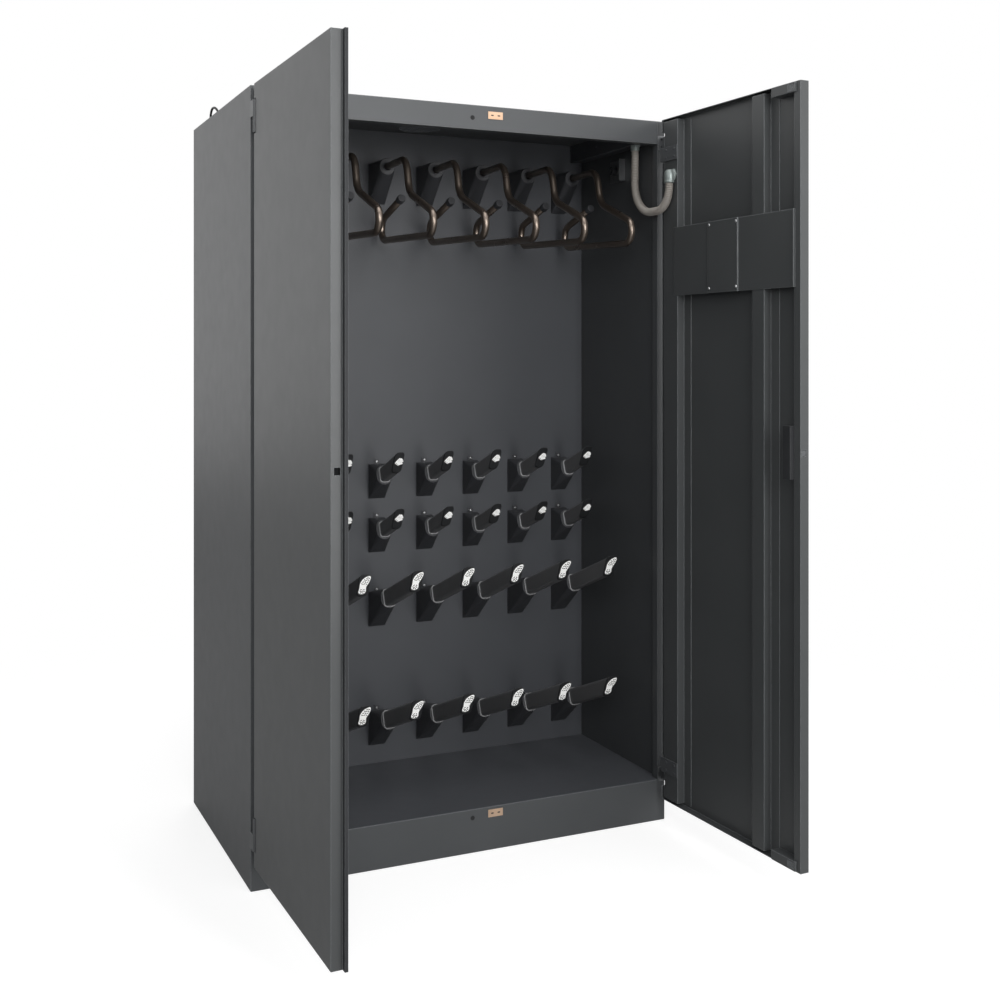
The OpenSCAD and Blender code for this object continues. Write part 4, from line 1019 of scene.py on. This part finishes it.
@dataclass
class DoorConduit:
    """Ribbed conduit that carries the wires from the duct to the right door."""

    radius: float = 11.5
    rib_depth: float = 1.6
    ribs: int = 84
    x: float = 565.25
    y: float = -245.0
    top: float = 1930.0
    bend: float = 97.0
    turn: float = 64.0
    rise: float = 7.0
    play: float = 0.2

    def _path(self) -> list[Vector]:
        """Points of its centre line, from the duct to the door."""
        end = on_door(True, GLAND_U, GLAND_Y, GLAND_Z)
        low = GLAND_Z - self.rise - self.turn
        leg_z = low + self.bend
        turn_y = end.y + self.turn
        leg = self.top - leg_z
        arc = self.bend * math.pi / 2
        flat = self.y - self.bend - turn_y
        last = self.turn * math.pi / 2
        total = leg + arc + flat + last + self.rise
        points = []
        steps = 240
        for i in range(steps + 1):
            s = self.play + (total - 2 * self.play) * i / steps
            if s < leg:
                y, z = self.y, self.top - s
            elif s < leg + arc:
                a = (s - leg) / self.bend
                y, z = self.y - self.bend + self.bend * math.cos(a), leg_z - self.bend * math.sin(a)
            elif s < leg + arc + flat:
                y, z = self.y - self.bend - (s - leg - arc), low
            elif s < leg + arc + flat + last:
                a = (s - leg - arc - flat) / self.turn
                y, z = turn_y - self.turn * math.sin(a), low + self.turn - self.turn * math.cos(a)
            else:
                y, z = end.y, low + self.turn + s - leg - arc - flat - last
            points.append(Vector((self.x + (end.x - self.x) * s / total, y, z)))
        return points

    def build(self, repeats: Repeats) -> None:
        """Makes the ribbed hose.

        Args:
            repeats: the node groups for repeated parts.
        """
        path = self._path()
        mesh = bpy.data.meshes.new("ribbed_conduit")
        mesh.from_pydata([tuple(p * MM) for p in path], [(i, i + 1) for i in range(len(path) - 1)], [])
        made = linked("ribbed_conduit", mesh)
        repeats.hose.apply(made, Ribs=self.ribs, Radius=self.radius * MM, Rib_depth=self.rib_depth * MM, Sides=28,
                           Steps=self.ribs * 8 + 1, Finish=CONDUIT.material())
        made.data.polygons.foreach_set("use_smooth", [len(p.vertices) == 4 for p in made.data.polygons])
        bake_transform(made)
        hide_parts("door_conduit")
        LOG.info("ribbed_conduit between cabinet and right_door")


# ---------------------------------------------------------------- holders


@dataclass(frozen=True)
class Holder:
    """One kind of tube holder, in the frame of its port: x right, y up across the tube, z along it."""

    name: str
    rows: tuple[float, float]
    reach: float
    height: float
    length: float
    width: float
    tall: float
    slope: float
    nodes: tuple[str, str, str]
    tilt: float = 20.5
    corner: float = 8.0
    band: float = 7.0
    sunk: float = 9.0

    def along(self) -> Matrix:
        """Turn that takes z to the direction of the tube."""
        return Matrix.Rotation(math.radians(90.0 - self.tilt), 3, "X")

    def ports(self) -> list[tuple[Vector, Matrix]]:
        """Middle of each port, and the turn of its tube."""
        return [(Vector((x, AIR_WALL_Y - self.reach, z + self.height)), self.along())
                for x in COLUMNS for z in self.rows]

    def faces(self) -> list[tuple[Vector, Matrix]]:
        """Middle and turn of each slanted end face, with y up the face and z out of it."""
        turn = (self.along() @ Matrix.Rotation(math.radians(self.tilt - self.slope), 3, "X")
                @ Matrix.Rotation(math.radians(90.0), 3, "X"))
        return [(p + self.along() @ Vector((0, 0, self.length)), turn) for p, _ in self.ports()]

    def outline(self, grow: float = 0.0) -> list[tuple[float, float]]:
        """Outline of the tube, larger on each side by grow."""
        return rounded(self.width + 2 * grow, self.tall + 2 * grow, self.corner + grow)

    def ring(self, z: float, grow: float = 0.0, slanted: bool = False) -> list[tuple[float, float, float]]:
        """Ring of the tube's outline.

        Args:
            z: its place along the tube.
            grow: how much larger it is on each side.
            slanted: whether it lies parallel to the end face.

        Returns:
            The ring's points.
        """
        lean = math.tan(math.radians(90.0 + self.tilt - self.slope)) if slanted else 0.0
        return [(x, y, z + y * lean) for x, y in self.outline(grow)]

    def tube(self) -> Shape:
        """The tube, from inside its socket to its cap."""
        return Shape().rings([self.ring(-self.sunk), self.ring(self.length - self.band, slanted=True)],
                             smooth=False)

    def cap(self) -> Shape:
        """The end cap, with a narrow rim round its slanted face."""
        end = self.length
        return Shape().rings([self.ring(end - self.band, 0.4, True), self.ring(end - self.band + 0.6, 1.0, True),
                              self.ring(end - 1.4, 1.0, True), self.ring(end - 0.3, 0.4, True),
                              self.ring(end, -0.8, True)], smooth=False)

    def collar(self) -> Shape:
        """Pale rim round the tube where it leaves its socket."""
        return Shape().rings([self.ring(1.2, 2.6), self.ring(3.4, 2.6), self.ring(4.5, 1.9), self.ring(4.7, 0.6),
                              self.ring(4.2, 0.0), self.ring(1.2, 0.0)], closed=True)

    def bezel(self) -> Shape:
        """Dark plate that closes the socket's port round the tube."""
        outer = rounded(37.6, 51.6, 18.8)
        flat = [[(x, y, z) for x, y in ring] for ring, z in ((outer, 0.2), (outer, 1.6))]
        return Shape().rings(flat + [self.ring(1.6), self.ring(0.2)], closed=True, smooth=False)


GLOVES = Holder("glove", (745.0, 905.0), 68.0, 75.0, 130.0, 26.5, 42.5, 60.0,
                ("glove_tubes", "glove_tube_caps", "glove_marks"), corner=7.5, band=9.0)
BOOTS = Holder("boot", (172.0, 525.0), 108.0, 101.0, 243.0, 30.5, 47.5, 66.0,
               ("boot_tubes", "boot_tube_caps", "boot_marks"))


@dataclass
class Holders:
    """Tubes, caps, marks and screws of the glove and boot holders, and the hangers."""

    repeats: Repeats
    socket_h: float = 102.0
    hanger_z: float = 1781.0
    hanger_r: float = 10.0
    hanger_port: tuple[float, float] = (98.0, 1880.0)
    hanger_path: tuple[tuple[float, float], ...] = (
        (396, 99), (228, 102), (203, 1), (22, -70), (22, -130), (433, -113), (433, -53), (280, -11))
    hanger_bends: tuple[float, ...] = (46, 58, 34, 34, 34, 34)
    sole_turn: float = -7.0
    sole_size: float = 0.96
    hand_turn: float = -38.0
    hand_size: float = 0.92
    hand_shift: tuple[float, float, float] = (1.6, 2.0, 0.0)

    def build(self) -> None:
        """Makes all pieces."""
        for kind in (GLOVES, BOOTS):
            self._tubes(kind)
        self._sole_marks()
        self._hand_marks()
        self._screws()
        self._hangers()
        self._hanger_rings()

    def _tubes(self, kind: Holder) -> None:
        """Tubes of one kind, with their caps, collars and bezels.

        Args:
            kind: the kind of holder.
        """
        tubes, caps, _ = kind.nodes
        for label, shape, finish, slot, nodes in (
                ("tubes", kind.tube(), TUBE, "tube_plastic", (tubes,)),
                ("caps", kind.cap(), CAP, "cap_plastic", (caps,)),
                ("collars", kind.collar(), COLLAR, "tube_plastic", ()),
                ("bezels", kind.bezel(), SOCKET, "socket_plastic", ())):
            self.repeats.fit(f"{kind.name}_holder_{label}", shape, kind.ports(), finish, "cabinet", slot, *nodes)

    def _sole_marks(self) -> None:
        """White sole on each boot holder's face, with its dark tread."""
        turn = Matrix.Rotation(math.radians(self.sole_turn), 3, "Z")
        faces = [(p, m @ turn) for p, m in BOOTS.faces()]
        sole = Shape().plate(self._sole(), PRINT_LOW, PRINT_HIGH, chamfer=0.3)
        tread = Shape()
        rows = ((24.0, 0.0, 11.6, 2), (17.6, -5.4, 11.8, 3), (11.0, -8.8, 10.6, 3), (4.4, -10.6, 8.2, 3),
                (-13.6, -9.4, 6.8, 2), (-19.6, -9.8, 7.4, 3), (-25.2, -7.6, 5.6, 2))
        for i, (y, low, high, count) in enumerate(rows):
            pitch = (high - low) / count
            for k in range(count):
                x = low + (k + 0.5) * pitch
                lean = 1.3 if k % 2 == i % 2 else -1.3
                bar = [(x - 2.2, y - 1.6 - lean), (x + 2.2, y - 1.6 + lean), (x + 2.2, y + 1.5 + lean),
                       (x - 2.2, y + 1.5 - lean)]
                tread.plate(bar, LINE_LOW, 0.98)
        self.repeats.fit("sole_marks", sole, faces, MARK, "cabinet", "mark_white", BOOTS.nodes[2],
                         size=self.sole_size)
        self.repeats.fit("sole_tread_marks", tread, faces, DARK_PRINT_AND_SHADE, "cabinet", "mark_white", size=self.sole_size)

    def _hand_marks(self) -> None:
        """White hand on each glove holder's face, its fingers up to the right."""
        turn = Matrix.Rotation(math.radians(self.hand_turn), 3, "Z")
        faces = [(p + m @ Vector(self.hand_shift), m @ turn) for p, m in GLOVES.faces()]
        hand, lines = self._hand()
        self.repeats.fit("hand_marks", hand, faces, MARK, "cabinet", "mark_white", GLOVES.nodes[2],
                         size=self.hand_size)
        self.repeats.fit("hand_line_marks", lines, faces, DARK_PRINT_AND_SHADE, "cabinet", "mark_white", size=self.hand_size)

    @staticmethod
    def _sole() -> list[tuple[float, float]]:
        """Outline of a sole whose toe leans to the right, anticlockwise from its heel."""
        return [(-2.0, -29.5), (4.0, -28.8), (8.6, -25.0), (10.0, -19.5), (8.6, -13.0), (7.2, -7.0), (8.6, 0.0),
                (11.6, 8.0), (13.6, 17.0), (13.8, 24.5), (12.2, 29.4), (8.4, 31.0), (2.0, 28.6), (-4.5, 24.0),
                (-9.6, 17.5), (-12.6, 9.5), (-13.2, 1.5), (-12.0, -6.5), (-11.2, -13.0), (-12.0, -19.5),
                (-10.8, -25.0), (-7.4, -28.6)]

    @staticmethod
    def _hand() -> tuple[Shape, Shape]:
        """White glove and the dark lines between its fingers."""
        white, dark = Shape(), Shape()
        palm = [(-8, -12), (8, -12), (9.4, -5), (9.6, 5), (-9.6, 5), (-9.4, -5)]
        white.plate(palm, PRINT_LOW, PRINT_HIGH, chamfer=0.2)
        for x, top in ((-7.4, 11.5), (-2.5, 14.0), (2.5, 13.4), (7.4, 10.8)):
            finger = [(x - 2.2, 4.5), (x + 2.2, 4.5), (x + 2.2, top - 1.8), (x + 1.2, top), (x - 1.2, top),
                      (x - 2.2, top - 1.8)]
            white.plate(finger, PRINT_LOW, PRINT_HIGH, chamfer=0.2)
        thumb = [(8.8, -7), (14.0, -0.5), (14.6, 3.0), (12.4, 3.6), (8.8, -0.5)]
        white.plate(thumb, PRINT_LOW, PRINT_HIGH, chamfer=0.2)
        dark.plate([(-7.4, -9.8), (7.4, -9.8), (7.4, -8.6), (-7.4, -8.6)], LINE_LOW, 0.92)
        for x in (-4.9, 0.0, 4.9):
            dark.plate([(x - 0.3, -1.5), (x + 0.3, -1.5), (x + 0.3, 5.5), (x - 0.3, 5.5)], LINE_LOW, 0.92)
        return white, dark

    def _hangers(self) -> None:
        """Bent hangers with soft bends."""
        bends = [Vector((0.0, FRONT_Y + d, self.hanger_z + h)) for d, h in self.hanger_path]
        shape = Shape().sweep(filleted(bends, self.hanger_bends), circle(self.hanger_r, 20), (1, 0, 0))
        spots = [((x, 0, 0), Matrix.Identity(3)) for x in COLUMNS]
        self.repeats.fit("bent_hangers", shape, spots, HANGER, "cabinet", "hanger_metal",
                         *(f"hanger_{i + 1}" for i in range(len(COLUMNS))))

    def _screws(self) -> None:
        """Bright screw on the tab of each glove and boot socket."""
        spots = [((x, AIR_WALL_Y - 3.0, z + self.socket_h + 7.0), facing(FRONT))
                 for x in COLUMNS for z in GLOVES.rows + BOOTS.rows]
        self.repeats.fit("holder_screws", screw_head(4.0, 2.3, 1.6), spots, SCREW, "cabinet", "gland_nickel",
                         "socket_screws")

    def _hanger_rings(self) -> None:
        """Rolled ring round each hanger where it enters its socket, and the port's rim."""
        reach, z = self.hanger_port
        spots = [((x, AIR_WALL_Y - reach, z), facing(FRONT)) for x in COLUMNS]
        for name, radius, sides, height, wire in (("hanger_port_rings", 12.1, 32, 0.6, 1.7),
                                                  ("hanger_port_rims", 23.3, 40, 0.0, 0.9)):
            path = [Vector((x, y, height)) for x, y in circle(radius, sides)]
            ring = Shape().sweep(path, circle(wire, 8), UP, closed=True)
            self.repeats.fit(name, ring, spots, SOCKET, "cabinet", "socket_plastic")


# ---------------------------------------------------------------- fixings


@dataclass
class Fixings:
    """Screws and rivets of the shell and the doors, the guard of the exhaust, the gland and the lever."""

    repeats: Repeats
    hinge_z: tuple[float, float] = (1918.0, 152.0)
    leaf_h: float = 40.0
    leaf_x: float = 588.0
    strap_u: tuple[float, float] = (22, 62)
    strap_y: float = 26.0
    pair: tuple[float, float] = (-11, 11)
    cover_z: tuple[float, float] = (1509.0, 1679.0)
    cover_u: tuple[float, float] = (227.0, 344.0)
    keeper_x: float = 67.0
    keeper_z: tuple[float, float] = (1976.0, 98.0)
    lever_u: float = 555.0
    lever_z: float = 1092.0
    flange_r: float = 71.5
    guard_r: float = 60.2
    guard_bar: float = 6.4
    guard_pitch: float = 9.0

    def build(self) -> None:
        """Makes all fixings."""
        self._door_screws()
        self._shell_screws()
        self._exhaust_guard()
        self._painted_keeper_slot_shade()
        self._rear_screws()
        self._door_gland()
        self._lever()

    def _heads(self, name: str, sizes: tuple[float, float, float], points: Sequence[Point], outward: Point,
               finish: Finish, body: str, slot: str) -> None:
        """Screws or rivets of one kind on a flat face.

        Args:
            name: name of the piece.
            sizes: radius and height of a head, and radius of its recess.
            points: middle of each head's foot.
            outward: direction out of the face.
            finish: their finish.
            body: the body that they ride on.
            slot: the material slot, handed on to the repeats, where it is not used.
        """
        turn = facing(outward)
        self.repeats.fit(name, screw_head(*sizes), [(p, turn) for p in points], finish, body, slot)

    def _door_screws(self) -> None:
        """Screws in the frame's hinge leaves, in the doors' straps and in the right door's cover plate."""
        top, low = self.hinge_z
        half, play = self.leaf_h / 2, 0.15
        leaves = (top + play + half, low - play - half)
        straps = (top - play - half, low + play + half)
        self._heads("frame_hinge_screws", (3.9, 1.6, 1.5),
                    [(s * self.leaf_x, FRONT_Y - 3.0, z + d) for s in SIDES for z in leaves for d in self.pair],
                    FRONT, FIXING, "cabinet", "hinge_steel")
        for right, body in ((True, "right_door"), (False, "left_door")):
            points = [on_door(right, u, self.strap_y, z + d)
                      for z in straps for u in self.strap_u for d in self.pair]
            self._heads(body + "_hinge_screws", (3.6, 1.5, 1.4), points, door_normal(right), FIXING, body,
                        "hinge_steel")
        self._heads("cover_screws", (4.3, 2.7, 1.7),
                    [on_door(True, u, 26.9, z) for u in self.cover_u for z in self.cover_z],
                    door_normal(True), SCREW, "right_door", "hinge_steel")

    def _shell_screws(self) -> None:
        """Rivets along the roof's edges and in the cable duct, and screws in the spigot's flange."""
        rivets = [(s * 590.0, y, CAB_TOP) for s in SIDES for y in range(-320, 330, 90)]
        rivets += [(x, y, CAB_TOP) for y in (-338.0, 338.0) for x in range(-520, 521, 130)]
        self._heads("roof_rivets", (3.4, 0.9, 0.9), rivets, UP, SHELL, "cabinet", "shell_paint")
        angles = [math.radians(45 + 90 * k) for k in range(4)]
        self._heads("spigot_screws", (3.8, 2.2, 1.5),
                    [(self.flange_r * math.cos(a), SPIGOT_Y + self.flange_r * math.sin(a), CAB_TOP + 2.0)
                     for a in angles],
                    UP, SCREW, "cabinet", "gland_nickel")
        self._heads("duct_rivets", (2.6, 0.9, 0.8), [(WALL_X - 40.0, y, 1972.0) for y in range(-265, 120, 75)],
                    (-1, 0, 0), INNER, "cabinet", "inner_paint")

    def _rear_screws(self) -> None:
        """Flat screws round the rear panel, their heads 0.15 mm proud of it."""
        y = REAR_Y - 0.3
        points = [(s * 585.0, y, z) for s in SIDES for z in range(80, 1990, 270)]
        points += [(x, y, z) for z in (24.0, 1982.0) for x in range(-480, 481, 160)]
        self._heads("rear_screws", (4.0, 0.45, 1.6), points, (0, 1, 0), FIXING, "cabinet", "shell_paint")

    def _exhaust_guard(self) -> None:
        """Slotted guard in the roof, under the exhaust spigot. It also stands in for shade, keeping the lit opening
        from showing so that it reads as dark ceiling.
        """
        shape = Shape()
        for i in range(-6, 7):
            y, half = i * self.guard_pitch, self.guard_bar / 2
            reach = math.sqrt(max(self.guard_r ** 2 - (abs(y) + half) ** 2, 0.0))
            if reach > 4:
                shape.box((-reach, SPIGOT_Y + y - half, CAB_TOP - 1.4), (reach, SPIGOT_Y + y + half, CAB_TOP - 0.1))
        for x in (-36.0, 0.0, 36.0):
            reach = math.sqrt(self.guard_r ** 2 - (abs(x) + 2.0) ** 2)
            shape.box((x - 2.0, SPIGOT_Y - reach, CAB_TOP - 1.3), (x + 2.0, SPIGOT_Y + reach, CAB_TOP - 0.2))
        fit(shape.piece("exhaust_guard", INNER), "cabinet", "shell_paint")

    def _painted_keeper_slot_shade(self) -> None:
        """Thin dark plates on the keeper plates, painted shade that stands in for their slots."""
        spots = [((self.keeper_x + s * 9.5, FRONT_Y - 1.5, z), facing(FRONT))
                 for s in SIDES for z in self.keeper_z]
        self.repeats.fit("keeper_slots", Shape().plate(rounded(8.0, 3.4, 1.5), 0.02, 0.12), spots, DARK_PRINT_AND_SHADE,
                         "cabinet", "keeper_brass")

    def _lever(self) -> None:
        """Flat lever with its rose and spindle, on the right door's outer face."""
        out = -door_normal(True)
        root = on_door(True, self.lever_u, -2.3, self.lever_z)
        place = Matrix.Translation(root) @ facing(out).to_4x4()
        shape = Shape().lathe([(15.2, 0.0), (16.0, 0.8), (16.0, 6.0), (15.0, 7.4), (13.6, 8.0)], 40, place)
        shape.lathe([(8.0, 7.9), (7.6, 10.0), (7.4, 19.0)], 24, place)
        shape.lathe([(4.9, -6.8), (4.9, 0.1)], 16, place)
        sections = ((8.0, 0.55), (7.0, 0.8), (4.0, 1.0), (-60.0, 0.92), (-104.0, 0.86), (-110.0, 0.84),
                    (-113.0, 0.7), (-114.0, 0.5))
        path = [on_door(True, self.lever_u + d, -22.6, self.lever_z) for d, _ in sections]
        along = (path[3] - path[2]).normalized()
        up = Vector((0.0, 0.0, 1.0))
        turned = 1.0 if out.cross(up).dot(along) > 0 else -1.0
        shape.rings([[p + out * (x * k) + up * (turned * y * k) for x, y in rounded(9.4, 17.0, 4.4, 4)]
                     for p, (_, k) in zip(path, sections)])
        fit(shape.piece("lever_grip", LEVER), "lever", "lever_paint", "lever_handle")

    def _door_gland(self) -> None:
        """Elbow of the conduit on the right door, with its flange and nut."""
        wide = Matrix.Rotation(math.radians(RIGHT_OPEN), 4, "Z") @ Matrix.Diagonal((1.22, 1.0, 1.0, 1.0))
        cup = [(12.2, 0.0), (13.6, 0.8), (13.6, 5.2), (12.6, 6.0), (12.9, 8.0), (13.4, 12.0), (13.5, 22.0),
               (12.6, 29.0), (10.2, 34.2), (6.0, 37.6), (1.0, 38.6)]
        shape = Shape().lathe(cup, 32, Matrix.Translation(on_door(True, GLAND_U, GLAND_Y, GLAND_Z)) @ wide)
        root = (Matrix.Translation(on_door(True, GLAND_U, 23.0, GLAND_Z + 24.0))
                @ facing(door_normal(True)).to_4x4())
        shape.lathe([(17.4, 0.1), (18.0, 0.6), (18.0, 4.2), (17.2, 5.0)], 6, root, False)
        shape.lathe([(14.6, 4.8), (14.6, 8.0), (12.4, 9.0), (11.6, 14.0)], 28, root)
        fit(shape.piece("door_gland_elbow", NICKEL), "right_door", "gland_nickel", "door_gland")


# ---------------------------------------------------------------- the frame's own nodes


def dress(record: dict) -> None:
    """Gives every CAD node the material of its slot.

    Args:
        record: the part's record.
    """
    slots = {part["node"]: part["material_slot"] for part in record["subparts"]}
    for name, slot in slots.items():
        finish = BY_NODE.get(name) or BY_SLOT[slot]
        mesh = bpy.data.objects[name].data
        if len(mesh.materials) == 0:
            mesh.materials.append(finish.material())
        for i in range(len(mesh.materials)):
            mesh.materials[i] = finish.material()
    LOG.info("%d frame nodes dressed", len(slots))


def main() -> None:
    """Builds the studio, then the cabinet's pieces in order."""
    logging.basicConfig(level=logging.INFO, format="%(name)s: %(message)s")
    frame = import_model()
    scene = bpy.context.scene
    scene.view_settings.view_transform = "Standard"
    Studio().build()
    repeats = Repeats()
    MainsLead().build()
    dress(frame["record"])
    DoorConduit().build(repeats)
    Holders(repeats).build()
    Fixings(repeats).build()


if __name__ == "__main__":
    main()
